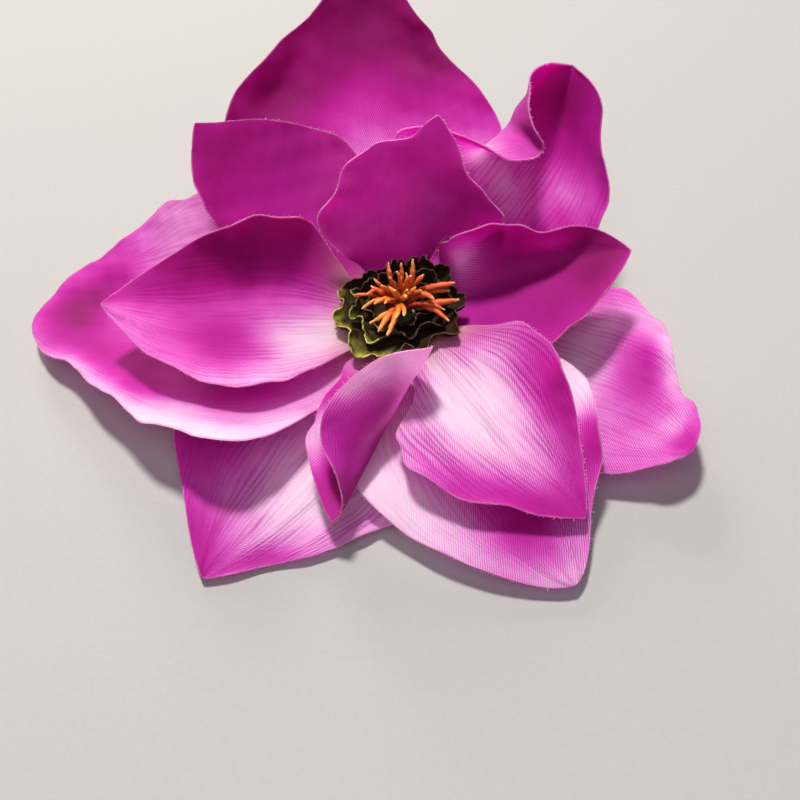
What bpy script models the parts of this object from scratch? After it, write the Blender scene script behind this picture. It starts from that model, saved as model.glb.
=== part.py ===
"""Artificial magnolia flower head, lying face up on the flat underside of its moulded hub.

Four die-cut cloth layers of three petals each are threaded on the post of the hub. A ruffled cloth
collar and a bunch of moulded stamens are pushed onto the post above them. Sizes are in millimetres,
azimuths in degrees counterclockwise from +X, heights above the plane that the flower lies on.
"""
import math
import random

import bmesh
import bpy
import numpy as np

MM = 0.001

# Cloth and hub: the driving sizes.
CLOTH = 0.7
CLAW = 0.27
POST_RADIUS = 2.8
HOLE_RADIUS = 3.2
DISC_RADIUS = 10.5
DISC_THICKNESS = 1.3
FIRST_LAYER_HEIGHT = 5.5
LAYER_PITCH = 1.6
HUB_FLAT_RADIUS = 9.5
HUB_RADIUS = 10.5
HUB_HEIGHT = 4.5
POST_TOP = 14.6
ROUND_SIDES = 24

# Cells along and across a petal, and the fine steps that its bent cross-section is summed over.
PETAL_ROWS = 13
PETAL_COLUMNS = 10
BEND_STEPS = 48

# A petal's stations, base to tip: azimuth, reach from the axis, height, then the lean and the curl
# of its left half and of its right half, seen from the base. Lean turns a half up from its fold,
# curl rolls it more and more towards its margin.
LAYERS = {
    "petal_layer_1": {
        "top_back": dict(width=66, widest=0.5, point=1.4, waves=(1.6, 2.2, 0.1),
            left=[(0, 1), (0.4, 1.05), (0.66, 1.24), (0.78, 1.15), (0.85, 1), (1, 1.2)],
            right=[(0, 1), (0.62, 1), (0.76, 0.9), (0.85, 1.02), (1, 1.2)],
            stations=[(96, 7, 5.5, 0, 0, 0, 0), (96, 12.5, 5.6, 0, 0, 0, 0), (97, 28, 9, 8, 14, 6, 12),
            (98, 50, 22, 8, 14, 8, 14), (97, 70, 40, 6, 12, 6, 12), (95, 80, 53, 0, 0, 0, 0)],
            dents=[(0.66, 0.7, -2.6, 0.09, 0.2), (0.86, -0.1, -2.4, 0.07, 0.3),
            (0.78, -0.6, -2.2, 0.08, 0.2)]),
        "bottom_left": dict(width=58, widest=0.5, point=1.4, waves=(0.5, 2.4, 0.3),
            left=[(0, 1), (0.45, 0.98), (0.6, 0.86), (0.75, 0.84), (0.88, 0.72), (1, 0.8)],
            right=[(0, 1.1), (0.45, 1.18), (0.65, 1.18), (0.85, 1.08), (1, 1.1)],
            stations=[(240, 7, 5.5, 0, 0, 0, 0), (240, 28, 3.2, 0, 2, 0, 2), (239, 52, 1.9, 0, 4, 0, 4),
            (238, 76, 2, 0, 0, 0, 0)]),
        "right_outer": dict(width=55, widest=0.52, point=2.4, waves=(1.0, 2.6, 0.15),
            left=[(0, 1), (0.3, 1.1), (0.5, 1.25), (0.66, 1.06), (0.84, 0.68), (0.92, 0.84), (1, 1.1)],
            right=[(0, 1), (0.6, 1), (0.84, 0.78), (0.92, 0.8), (1, 1.1)],
            stations=[(336, 7, 5.5, 0, 0, 0, 0), (335, 30, 3.4, 4, 6, 0, 0), (332, 54, 5.4, 6, 8, 0, 2),
            (328, 73, 11, 0, 0, 0, 0)],
            dents=[(0.72, 0.8, 1.6, 0.06, 0.25)]),
    },
    "petal_layer_2": {
        "left_outer": dict(width=70, widest=0.4, point=1.5, waves=(1.2, 2.4, 0.05),
            left=[(0, 1), (0.18, 1.08), (0.32, 1.24), (0.5, 1.08), (0.68, 0.98), (0.82, 0.86),
            (0.92, 0.98), (1, 1)],
            right=[(0, 1), (0.3, 1.05), (0.56, 1.15), (0.7, 1.35), (0.86, 1.4), (0.94, 1.55), (1, 1.3)],
            stations=[(188, 7, 7.1, 0, 0, 0, 0), (186, 30, 7.2, 6, 26, 22, 20),
            (181, 58, 5.6, 8, 30, 24, 25), (177, 88, 5, 0, 0, 0, 0)]),
        "bottom_right_outer": dict(width=58, waves=(0.9, 2.2, 0.4),
            left=[(0, 1), (0.7, 0.95), (0.85, 0.78), (1, 0.8)],
            right=[(0, 1), (0.4, 1), (0.6, 0.95), (1, 1)],
            stations=[(296, 7, 7.1, 0, 0, 0, 0), (296, 28, 7, 11, 13, 0, 4),
            (297, 52, 5.8, 16, 20, 0, 6), (298, 75.5, 3.2, 0, 0, 0, 0)]),
        "top_right": dict(width=64, widest=0.47, point=2.4, fold=0.5,
            left=[(0, 1), (0.12, 0.6), (0.25, 0.8), (0.4, 1.15), (0.55, 1.05), (0.72, 1.12), (0.82, 1.3),
            (0.92, 1.2), (1, 1.35)],
            right=[(0, 1), (0.3, 1), (0.45, 0.85), (0.62, 0.88), (0.74, 0.92), (0.86, 0.72), (1, 0.8)],
            stations=[(58, 7, 7.1, 0, 0, 0, 0), (58, 12.5, 7.2, 1, 0, 0, 0), (57, 24, 10, 45, 15, 2, 6),
            (54, 37, 15.5, 62, 30, 4, 8), (51.5, 47.5, 22, 100, 55, 6, 14),
            (50, 55.5, 31, 115, 55, 10, 20), (49.5, 62.5, 45.5, 40, 20, 0, 0)]),
    },
    "petal_layer_3": {
        "top_left": dict(width=46,
            left=[(0, 0.9), (0.15, 0.55), (0.5, 0.5), (0.72, 1.05), (0.85, 1.08), (1, 1)],
            right=[(0, 1), (0.35, 1.05), (0.65, 1.3), (0.85, 1.3), (1, 1)],
            stations=[(142, 7, 8.7, 0, 0, 0, 0), (142, 12.5, 8.8, 0, 0, 2, 2),
            (142, 24, 13, 0, 0, 14, 12), (143, 42, 24, 14, 24, 6, 12), (145, 58, 40, 0, 0, 0, 0)]),
        "centre_right": dict(width=44,
            left=[(0, 0.8), (0.1, 1.1), (0.16, 1.25), (0.24, 1.1), (0.42, 1.05), (0.66, 0.78),
            (0.85, 0.85), (1, 0.9)],
            stations=[(12, 7, 8.7, 0, 0, 0, 0), (12, 12.5, 8.8, 5, 3, 0, 0), (12, 17, 10, 55, 24, 0, 0),
            (12, 22, 12, 70, 38, 8, 6), (10, 38, 18, 65, 50, 6, 8), (7.5, 53, 25, 20, 20, 0, 0)]),
        "bottom_centre": dict(width=48, fold=0.35,
            left=[(0, 0.8), (0.1, 0.3), (0.2, 0.6), (0.32, 1), (1, 1)],
            right=[(0, 0.66), (0.12, 0.6), (0.3, 0.42), (0.55, 0.47), (0.7, 0.6), (1, 0.62)],
            stations=[(259, 7, 8.7, 0, 0, 0, 0), (257, 13, 8.7, 12, 4, 0, 4),
            (256.5, 17, 9, 50, 4, 2, 6), (257, 23, 9.8, 56, 20, 4, 10), (257, 32, 10.3, 66, 92, 6, 10),
            (257, 45, 10.5, 112, 58, 10, 10), (256, 57, 9, 60, 10, 0, 0)]),
    },
    "petal_layer_4": {
        "inner_top": dict(width=50, widest=0.42, point=1.4,
            left=[(0, 0.8), (0.3, 0.85), (0.46, 0.93), (0.56, 0.86), (0.66, 0.92), (0.76, 0.85),
            (0.86, 0.42), (1, 0.5)],
            right=[(0, 0.5), (0.12, 0.3), (0.3, 0.3), (0.5, 0.9), (0.6, 1), (0.7, 0.9), (0.8, 0.8),
            (0.9, 0.85), (1, 0.8)],
            stations=[(84, 7, 10.3, 0, 0, 0, 0), (83, 13, 15.5, 20, 24, -15, 0),
            (79, 19.5, 33, 14, 24, 0, 14), (71, 26, 49, 0, 0, 0, 0)]),
        "centre_left": dict(width=46, widest=0.42,
            left=[(0, 1), (0.3, 1), (0.55, 1.1), (0.8, 1.08), (1, 1)],
            right=[(0, 1), (0.12, 1.1), (0.24, 1.22), (0.38, 1.1), (0.6, 1.02), (0.8, 1), (1, 1)],
            stations=[(182, 7, 10.3, 0, 0, 0, 0), (184, 26, 13, 8, 10, 50, 30),
            (186, 48, 16, 4, 10, 40, 30), (185, 67, 21, 0, 0, 0, 0)]),
        "bottom_right_inner": dict(width=52, widest=0.42,
            left=[(0, 1), (0.2, 0.98), (0.36, 0.86), (0.5, 0.84), (1, 0.82)],
            right=[(0, 0.8), (0.06, 0.44), (0.14, 0.34), (0.25, 0.38), (0.42, 0.76), (0.55, 0.9),
            (0.68, 0.88), (0.82, 0.72), (1, 0.72)],
            stations=[(298, 7, 10.3, 0, 0, 0, 0), (298, 13, 11.3, 6, 6, 0, 0),
            (299, 26, 12, 20, 20, 4, 6), (301.5, 47.6, 10.7, 20, 20, 8, 10), (305, 66.2, 8.8, 0, 0, 0, 0)]),
    },
}

# Ruffled collar: three gathered strips standing round the post on one small disc.
COLLAR_DISC_RADIUS = 6.2
COLLAR_DISC_BOTTOM = 11.6
COLLAR_DISC_TOP = 12.6
COLLAR_HEIGHT = 12.0
RUFFLES = [
    dict(foot=5.4, reach=14.2, rise=4.4, swing=1, folds=11, depth=1.1, seed=3),
    dict(foot=5.0, reach=10.6, rise=5.0, swing=0.45, folds=9, depth=0.9, seed=8),
    dict(foot=3.6, reach=7.3, rise=4.1, swing=0.2, folds=7, depth=0.5, seed=5),
]
RUFFLE_SEGMENTS = 60
RUFFLE_ROWS = 3
# Shares of the reach and of the rise in each direction, by azimuth: what the petals leave room for.
# A ruffle's swing says how much of the second one it follows.
RUFFLE_ROOM = [(0, 1), (25, 0.96), (45, 0.92), (62, 0.8), (78, 0.71), (105, 0.69), (128, 0.73), (150, 0.92),
               (175, 1), (215, 1.1), (245, 1.2), (265, 0.92), (300, 0.95), (330, 1.03), (361, 1)]
RUFFLE_LIFT = [(0, 0.9), (30, 1.3), (50, 1.9), (64, 2.0), (85, 1.6), (130, 1.15), (175, 0.9), (215, 0.75),
               (245, 0.15), (268, 0.45), (320, 0.85), (361, 0.9)]

# Stamens: curved tapered fingers on a low dome. Each has its tip's azimuth, reach from the axis and
# height, then its thickness and how far it bows up.
STAMEN_SIDES = 5
STAMEN_STEPS = 4
STAMEN_BASE_HEIGHT = 15.2
STAMEN_ROOT_HEIGHT = 16.1
STAMEN_DOME_RADIUS = 3.7
# How far out on the dome the longest ones stand, as a share of its radius, how far each is turned round
# the axis at its root, in radians, and the share of its thickness left at the blunt tip.
STAMEN_SPREAD = 0.75
STAMEN_TURN = 0.8
STAMEN_TIP = 0.55
STAMEN_LONG = 12
STAMENS = [
    (7, 12.6, 20, 0.95, 1.2), (3, 11.4, 18.4, 0.7, 1), (350, 13.6, 18.5, 0.9, 1),
    (331, 8.7, 20.5, 0.85, 1.6), (325, 13.4, 17.2, 0.75, 1), (334, 11.2, 18, 0.6, 1.4),
    (51, 4.6, 25.5, 0.75, 0), (108, 2.2, 23, 0.6, 0), (130, 3.8, 24, 0.65, 0.2),
    (8, 2.4, 23.5, 0.7, 0), (343, 3.8, 21.5, 0.6, 0.2), (184, 10.7, 18.4, 0.5, 1.2),
    (179, 6.6, 20.5, 0.7, 1), (166, 6.2, 21.5, 0.55, 0.6), (211, 10.1, 18.5, 0.6, 1.6),
    (221, 7.7, 20, 0.75, 1.6), (232, 10.9, 17.5, 0.7, 1.8), (246, 12, 17.2, 0.8, 1.8),
    (257, 12.6, 17.6, 0.8, 1.6), (264, 9.4, 20, 0.7, 1.2), (250, 3.9, 23, 0.7, 0.3),
    (284, 5.3, 22.5, 0.75, 0.6), (240, 6.8, 21, 0.65, 0.8), (276, 8.6, 19.8, 0.65, 1),
]


def eased(values, pairs):
    """Values read from (place, value) pairs, easing smoothly from each to the next."""
    places = np.array([place for place, _ in pairs], float)
    levels = np.array([level for _, level in pairs], float)
    index = np.clip(np.searchsorted(places, values, side="right") - 1, 0, len(places) - 2)
    step = (values - places[index]) / (places[index + 1] - places[index])
    step = step * step * (3 - 2 * step)
    return levels[index] * (1 - step) + levels[index + 1] * step


def outline(rows, petal):
    """Half-width of the die-cut outline at each row, as a share of the widest one."""
    widest = petal.get("widest", 0.45)
    rise = CLAW + (1 - CLAW) * np.sin(np.clip(rows / widest, 0, 1) * np.pi / 2) ** 1.15
    towards_tip = np.clip((rows - widest) / (1 - widest), 0, 1)
    fall = (1 - towards_tip ** petal.get("point", 1.75)) ** 0.9
    return np.where(rows < widest, rise, fall)


def spline(stations, rows):
    """Smooth curve through the stations, read at rows from 0 to 1 of its length."""
    steps = np.linalg.norm(np.diff(stations[:, :3], axis=0), axis=1)
    places = np.concatenate([[0], np.cumsum(steps)]) / steps.sum()
    slopes = np.empty_like(stations)
    last = len(stations) - 1
    for i in range(last + 1):
        before, after = max(i - 1, 0), min(i + 1, last)
        slopes[i] = (stations[after] - stations[before]) / (places[after] - places[before])
    rows = np.clip(rows, 0, 1)
    index = np.clip(np.searchsorted(places, rows, side="right") - 1, 0, last - 1)
    span = (places[index + 1] - places[index])[:, None]
    t = (rows - places[index])[:, None] / span
    return ((2 * t**3 - 3 * t**2 + 1) * stations[index] + (t**3 - 2 * t**2 + t) * span * slopes[index]
            + (3 * t**2 - 2 * t**3) * stations[index + 1] + (t**3 - t**2) * span * slopes[index + 1])


def petal_surface(petal, row_count, column_count):
    """Middle surface of a petal, rows from base to tip, columns from right margin to left margin."""
    table = np.array(petal["stations"], float)
    azimuth = np.radians(table[:, 0])
    stations = np.column_stack([table[:, 1] * np.cos(azimuth), table[:, 1] * np.sin(azimuth), table[:, 2:],
                                table[:, 0]])
    even = np.linspace(0, 1, row_count + 1)
    rows = 0.55 * even + 0.45 * even * (2 - even)
    line = spline(stations, rows)
    nearby = 0.001
    along = spline(stations, rows + nearby)[:, :3] - spline(stations, rows - nearby)[:, :3]
    along /= np.linalg.norm(along, axis=1)[:, None]
    turn = np.radians(line[:, 7])
    side = np.column_stack([-np.sin(turn), np.cos(turn), np.zeros_like(turn)])
    side -= (side * along).sum(axis=1)[:, None] * along
    side /= np.linalg.norm(side, axis=1)[:, None]
    up = np.cross(along, side)
    half = 0.5 * petal["width"] * outline(rows, petal)
    columns = np.linspace(-1, 1, column_count + 1)
    surface = np.zeros((row_count + 1, column_count + 1, 3))
    steps = (np.arange(BEND_STEPS) + 0.5) / BEND_STEPS
    folded = np.clip(steps / petal.get("fold", 0.5), 0, 1)
    folded = folded * folded * (3 - 2 * folded)
    for hand, lean_column, name in ((1, 3, "left"), (-1, 5, "right")):
        share = eased(rows, petal.get(name, [(0, 1), (1, 1)]))
        angle = np.radians(line[:, lean_column, None] * folded + line[:, lean_column + 1, None] * steps**1.6)
        reach = (half * share / BEND_STEPS)[:, None]
        start = np.zeros((row_count + 1, 1))
        out = np.concatenate([start, np.cumsum(np.cos(angle) * reach, axis=1)], axis=1)
        lift = np.concatenate([start, np.cumsum(np.sin(angle) * reach, axis=1)], axis=1)
        for j in np.where(columns * hand >= 0)[0]:
            place = abs(columns[j]) * BEND_STEPS
            k = min(int(place), BEND_STEPS - 1)
            f = place - k
            x = out[:, k] * (1 - f) + out[:, k + 1] * f
            y = lift[:, k] * (1 - f) + lift[:, k + 1] * f
            surface[:, j] = line[:, :3] + hand * x[:, None] * side + y[:, None] * up
    return surface + surface_normals(surface) * relief(petal, rows, columns)[:, :, None]


def relief(petal, rows, columns):
    """Height of a petal's margin waves and of its soft dents, off its bent surface."""
    u, v = rows[:, None], columns[None, :]
    height, count, phase = petal.get("waves", (0, 1, 0))
    turns = count * u + phase + 0.35 * (v > 0)
    total = height * np.abs(v) ** 3 * np.sin(2 * np.pi * turns) * np.sin(np.pi * u)
    for place, across, depth, length, breadth in petal.get("dents", []):
        total = total + depth * np.exp(-((u - place) / length) ** 2 - ((v - across) / breadth) ** 2)
    return total


def surface_normals(grid, wraps=False):
    """Unit normals at a grid's points; a row that closes to a point takes the next row's mean."""
    down = np.gradient(grid, axis=0)
    if wraps:
        across = (np.roll(grid, -1, axis=1) - np.roll(grid, 1, axis=1)) / 2
    else:
        across = np.gradient(grid, axis=1)
    normals = np.cross(down, across)
    size = np.linalg.norm(normals, axis=2, keepdims=True)
    normals = normals / np.where(size < 1e-9, 1, size)
    if np.ptp(grid[-1], axis=0).max() < 1e-6:
        mean = normals[-2].mean(axis=0)
        normals[-1] = mean / np.linalg.norm(mean)
    return normals


def mesh_object(name, verts, faces):
    """An object at the origin from points in millimetres."""
    mesh = bpy.data.meshes.new(name)
    mesh.from_pydata([tuple(float(c) * MM for c in v) for v in verts], [], faces)
    shell = bmesh.new()
    shell.from_mesh(mesh)
    bmesh.ops.remove_doubles(shell, verts=shell.verts, dist=1e-7)
    bmesh.ops.recalc_face_normals(shell, faces=shell.faces)
    shell.to_mesh(mesh)
    shell.free()
    obj = bpy.data.objects.new(name, mesh)
    bpy.context.scene.collection.objects.link(obj)
    return obj


def cloth_solid(name, grid, wraps=False):
    """A sheet of cloth round a middle surface, both faces split into triangles alike."""
    normals = surface_normals(grid, wraps)
    row_count, column_count = grid.shape[:2]
    upper = (grid + normals * CLOTH / 2).reshape(-1, 3)
    lower = (grid - normals * CLOTH / 2).reshape(-1, 3)
    verts = np.concatenate([upper, lower])
    offset = row_count * column_count
    faces = []
    rim = []
    for i in range(row_count - 1):
        for j in range(column_count if wraps else column_count - 1):
            a, b = i * column_count + j, i * column_count + (j + 1) % column_count
            c, d = b + column_count, a + column_count
            for tri in ((a, d, c), (a, c, b)):
                if len({tuple(np.round(upper[k], 6)) for k in tri}) == 3:
                    faces.append(tri)
                    faces.append(tuple(k + offset for k in reversed(tri)))
    for j in range(column_count if wraps else column_count - 1):
        following = (j + 1) % column_count
        rim.append((j, following))
        rim.append(((row_count - 1) * column_count + following, (row_count - 1) * column_count + j))
    if not wraps:
        for i in range(row_count - 1):
            rim.append(((i + 1) * column_count, i * column_count))
            rim.append((i * column_count + column_count - 1, (i + 1) * column_count + column_count - 1))
    for a, b in rim:
        if np.linalg.norm(upper[a] - upper[b]) > 1e-6:
            faces.append((a, b, b + offset))
            faces.append((a, b + offset, a + offset))
    return mesh_object(name, verts, faces)


def turned_solid(name, profile, closed=False):
    """A solid turned round the axis; an open profile starts and ends on the axis, a closed one is a ring."""
    verts, faces, loops = [], [], []
    for radius, height in profile:
        if radius == 0:
            loops.append([len(verts)])
            verts.append((0, 0, height))
            continue
        loops.append(list(range(len(verts), len(verts) + ROUND_SIDES)))
        for k in range(ROUND_SIDES):
            angle = 2 * math.pi * k / ROUND_SIDES
            verts.append((radius * math.cos(angle), radius * math.sin(angle), height))
    pairs = list(zip(loops, loops[1:]))
    if closed:
        pairs.append((loops[-1], loops[0]))
    for low, high in pairs:
        for k in range(ROUND_SIDES):
            n = (k + 1) % ROUND_SIDES
            corners = [low[k % len(low)], low[n % len(low)], high[n % len(high)], high[k % len(high)]]
            faces.append(tuple(dict.fromkeys(corners)))
    return mesh_object(name, verts, faces)


def fused(name, pieces, solver="EXACT"):
    """One body from pieces that run into each other."""
    group = bpy.data.collections.new(name + "_pieces")
    bpy.context.scene.collection.children.link(group)
    for piece in pieces[1:]:
        bpy.context.scene.collection.objects.unlink(piece)
        group.objects.link(piece)
    whole = pieces[0]
    union = whole.modifiers.new("union", "BOOLEAN")
    union.operation = "UNION"
    union.operand_type = "COLLECTION"
    union.collection = group
    union.solver = solver
    depsgraph = bpy.context.evaluated_depsgraph_get()
    mesh = bpy.data.meshes.new_from_object(whole.evaluated_get(depsgraph))
    whole.modifiers.remove(union)
    whole.data = mesh
    whole.name = name
    for piece in pieces[1:]:
        bpy.data.objects.remove(piece)
    bpy.data.collections.remove(group)
    return whole


def finish(obj, colour, roughness):
    """Gives an object its material and shades its round faces smooth."""
    material = bpy.data.materials.new(obj.name)
    material.use_nodes = True
    surface = material.node_tree.nodes["Principled BSDF"]
    surface.inputs["Base Color"].default_value = (*colour, 1)
    surface.inputs["Roughness"].default_value = roughness
    surface.inputs["Metallic"].default_value = 0
    obj.data.materials.clear()
    obj.data.materials.append(material)
    obj.data.shade_smooth()
    obj.data.set_sharp_from_angle(angle=math.radians(50))


def make_hub():
    """Moulded cup with a flat underside, and the post that carries the layers."""
    cup = [(0, 0), (HUB_FLAT_RADIUS, 0), (HUB_RADIUS, 1), (HUB_RADIUS - 0.8, 3), (HUB_RADIUS - 2, HUB_HEIGHT)]
    post = [(POST_RADIUS, HUB_HEIGHT), (POST_RADIUS, POST_TOP - 0.4), (POST_RADIUS - 0.4, POST_TOP),
            (0, POST_TOP)]
    finish(turned_solid("hub", cup + post), (0.16, 0.22, 0.08), 0.5)


def make_layer(name, petals, height, colour):
    """Three petals fused to the disc that is threaded on the post."""
    bottom, top = height - DISC_THICKNESS / 2, height + DISC_THICKNESS / 2
    ring = [(HOLE_RADIUS, bottom), (DISC_RADIUS, bottom), (DISC_RADIUS, top), (HOLE_RADIUS, top)]
    pieces = [turned_solid(name + "_disc", ring, closed=True)]
    for petal_name, petal in petals.items():
        pieces.append(cloth_solid(petal_name, petal_surface(petal, PETAL_ROWS, PETAL_COLUMNS)))
    finish(fused(name, pieces), colour, 0.6)


def ruffle_surface(ruffle):
    """Closed cup that spreads from its foot, then stands up and waves towards its edge."""
    draw = random.Random(ruffle["seed"])
    turns = np.arange(RUFFLE_SEGMENTS) * 2 * np.pi / RUFFLE_SEGMENTS
    phase = [draw.uniform(0, 2 * np.pi) for _ in range(3)]
    wave = np.sin(ruffle["folds"] * turns + phase[0] + 0.7 * np.sin(2 * turns + phase[1]))
    sway = np.sin(3 * turns + phase[2])
    reach = ruffle["reach"] * eased(np.degrees(turns), RUFFLE_ROOM)
    lift = 1 + ruffle["swing"] * (eased(np.degrees(turns), RUFFLE_LIFT) - 1)
    grid = np.zeros((RUFFLE_ROWS + 1, RUFFLE_SEGMENTS, 3))
    for i in range(RUFFLE_ROWS + 1):
        s = i / RUFFLE_ROWS
        radius = (ruffle["foot"] + (reach - ruffle["foot"]) * np.sin(s * np.pi / 2) ** 0.9
                  + ruffle["depth"] * s**1.5 * wave)
        grid[i, :, 0] = radius * np.cos(turns)
        grid[i, :, 1] = radius * np.sin(turns)
        grid[i, :, 2] = (COLLAR_HEIGHT + ruffle["rise"] * lift * (1 - np.cos(s * np.pi / 2))
                         + s * (0.4 * sway - 0.5 * ruffle["depth"] * wave))
    return grid


def make_collar():
    """Three ruffled strips on one disc."""
    ring = [(HOLE_RADIUS, COLLAR_DISC_BOTTOM), (COLLAR_DISC_RADIUS, COLLAR_DISC_BOTTOM),
            (COLLAR_DISC_RADIUS, COLLAR_DISC_TOP), (HOLE_RADIUS, COLLAR_DISC_TOP)]
    pieces = [turned_solid("collar_disc", ring, closed=True)]
    for number, ruffle in enumerate(RUFFLES):
        pieces.append(cloth_solid(f"ruffle_{number}", ruffle_surface(ruffle), wraps=True))
    finish(fused("collar", pieces), (0.12, 0.11, 0.03), 0.7)


def finger(name, azimuth, reach, height, thickness, bow):
    """A slightly flattened finger that bows up from the dome to its blunt tip."""
    out = np.array([math.cos(math.radians(azimuth)), math.sin(math.radians(azimuth)), 0])
    side = np.array([-out[1], out[0], 0])
    up = np.array([0, 0, 1])
    root = STAMEN_SPREAD * STAMEN_DOME_RADIUS * min(reach / STAMEN_LONG, 1)
    turned = STAMEN_TURN * math.sin(5 * math.radians(azimuth))
    start = root * (math.cos(turned) * out + math.sin(turned) * side) + STAMEN_ROOT_HEIGHT * up
    whole = reach * out + height * up - start
    verts, faces = [], []
    for step in range(STAMEN_STEPS + 1):
        s = step / STAMEN_STEPS
        point = start + whole * s + up * bow * math.sin(math.pi * s)
        along = whole + up * bow * math.pi * math.cos(math.pi * s)
        across = np.cross(side, along / np.linalg.norm(along))
        swell = 0.8 + 0.35 * math.sin(math.pi * min(s * 1.15, 1))
        size = thickness * swell * (1 if s < 1 else STAMEN_TIP)
        for k in range(STAMEN_SIDES):
            angle = 2 * math.pi * k / STAMEN_SIDES
            verts.append(point + size * (math.cos(angle) * side + 0.8 * math.sin(angle) * across))
    for step in range(STAMEN_STEPS):
        for k in range(STAMEN_SIDES):
            a, b = step * STAMEN_SIDES + k, step * STAMEN_SIDES + (k + 1) % STAMEN_SIDES
            faces.append((a, b, b + STAMEN_SIDES, a + STAMEN_SIDES))
    faces.append(tuple(range(STAMEN_SIDES)))
    faces.append(tuple(range(STAMEN_STEPS * STAMEN_SIDES, (STAMEN_STEPS + 1) * STAMEN_SIDES)))
    return mesh_object(name, verts, faces)


def make_stamens():
    """Fingers fanned over a low dome that sits on the end of the post."""
    bottom = STAMEN_BASE_HEIGHT - 0.3
    dome = [(0, bottom), (STAMEN_DOME_RADIUS - 0.6, bottom), (STAMEN_DOME_RADIUS, bottom + 0.5),
            (STAMEN_DOME_RADIUS - 0.8, bottom + 1.7), (STAMEN_DOME_RADIUS - 2.4, bottom + 2.4),
            (0, bottom + 2.6)]
    pieces = [turned_solid("stamen_dome", dome)]
    for number, stamen in enumerate(STAMENS):
        pieces.append(finger(f"stamen_{number}", *stamen))
    finish(fused("stamens", pieces), (0.9, 0.25, 0.04), 0.45)


def main():
    for obj in list(bpy.data.objects):
        bpy.data.objects.remove(obj)
    make_hub()
    shades = [(0.72, 0.25, 0.58), (0.74, 0.32, 0.62), (0.62, 0.06, 0.42), (0.68, 0.18, 0.52)]
    for number, (name, petals) in enumerate(LAYERS.items()):
        make_layer(name, petals, FIRST_LAYER_HEIGHT + number * LAYER_PITCH, shades[number])
    make_collar()
    make_stamens()


main()
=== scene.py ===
import math
import random

import bpy
import numpy as np
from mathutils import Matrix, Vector


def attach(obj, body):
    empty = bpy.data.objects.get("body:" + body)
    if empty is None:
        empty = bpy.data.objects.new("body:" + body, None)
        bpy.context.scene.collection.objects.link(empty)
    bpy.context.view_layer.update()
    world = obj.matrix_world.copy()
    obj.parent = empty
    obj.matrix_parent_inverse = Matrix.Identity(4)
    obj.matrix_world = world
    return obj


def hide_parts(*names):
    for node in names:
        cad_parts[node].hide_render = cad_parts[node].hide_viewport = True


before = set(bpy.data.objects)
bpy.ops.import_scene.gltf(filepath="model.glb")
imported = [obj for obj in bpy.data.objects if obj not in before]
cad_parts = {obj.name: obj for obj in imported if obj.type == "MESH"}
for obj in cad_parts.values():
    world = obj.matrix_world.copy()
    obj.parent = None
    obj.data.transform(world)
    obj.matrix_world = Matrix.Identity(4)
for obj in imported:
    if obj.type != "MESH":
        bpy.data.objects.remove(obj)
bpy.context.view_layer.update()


# Hub
# A moulded polyethylene calyx: a shallow cup with a flat underside, fluted round its side, and a round
# post. It comes out of the mould in one piece, and every cloth layer is pushed onto the post.
MM = 0.001
HUB_FLAT_RADIUS = 9.5
HUB_RADIUS = 10.5
HUB_HEIGHT = 4.5
POST_RADIUS = 2.8
POST_TOP = 14.6
HUB_SIDES = 144
HUB_FLUTES = 18
FLUTE_DEPTH = 0.22
HUB_CREASE_ANGLE = 60
HUB_GREEN = (0.06, 0.09, 0.028, 1)
HUB_GREEN_DUSTY = (0.11, 0.14, 0.06, 1)


def add_object(name, verts, faces, edges=()):
    """A smooth mesh object at the origin, from points in millimetres."""
    mesh = bpy.data.meshes.new(name)
    mesh.from_pydata([tuple(float(c) * MM for c in v) for v in verts], edges, faces)
    mesh.update()
    obj = bpy.data.objects.new(name, mesh)
    bpy.context.scene.collection.objects.link(obj)
    mesh.shade_smooth()
    return obj


def turned_body(profile, sides, flutes=0, hole=False):
    """Points and faces of a body turned round the post's axis. Its profile has a radius, a height and, where
    it is fluted, a depth at each point, and ends on the axis, or closes on itself round a hole."""
    rings = profile if hole else profile[1:-1]
    verts, faces = [], []
    for radius, height, *fluted in rings:
        for k in range(sides):
            angle = 2 * math.pi * k / sides
            r = radius - sum(fluted) * (0.5 - 0.5 * math.cos(flutes * angle))
            verts.append((r * math.cos(angle), r * math.sin(angle), height))
    foot, head = len(verts), len(verts) + 1
    for k in range(sides):
        n = (k + 1) % sides
        if not hole:
            faces += [(foot, n, k), (head, foot - sides + k, foot - sides + n)]
        for i in range(len(rings) if hole else len(rings) - 1):
            low, high = i * sides, (i + 1) % len(rings) * sides
            faces.append((low + k, low + n, high + n, high + k))
    if not hole:
        verts += [(0, 0, profile[0][1]), (0, 0, profile[-1][1])]
    return np.array(verts), faces


def feed(tree, made, inputs):
    """Gives each named input of a node its value, or links it to an output or to a node's first output."""
    for key, value in inputs.items():
        if isinstance(value, bpy.types.Node):
            value = value.outputs[0]
        if isinstance(value, bpy.types.NodeSocket):
            tree.links.new(value, made.inputs[key])
        else:
            made.inputs[key].default_value = value


def node(tree, kind, inputs=(), **settings):
    """A shader or geometry node with its settings and its inputs."""
    made = tree.nodes.new(kind)
    for name, value in settings.items():
        setattr(made, name, value)
    feed(tree, made, dict(inputs))
    return made


def new_material(name):
    """A material whose tree holds only its output and its Principled shader."""
    material = bpy.data.materials.new(name)
    material.use_nodes = True
    return material, material.node_tree, material.node_tree.nodes["Principled BSDF"]


def object_place(tree):
    return node(tree, "ShaderNodeTexCoord").outputs["Object"]


def noise(tree, place, scale, detail=2.0, **more):
    """Soft cloudy pattern from 0 to 1."""
    inputs = {"Vector": place, "Scale": scale, "Detail": detail, **more}
    return node(tree, "ShaderNodeTexNoise", inputs).outputs["Fac"]


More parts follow.
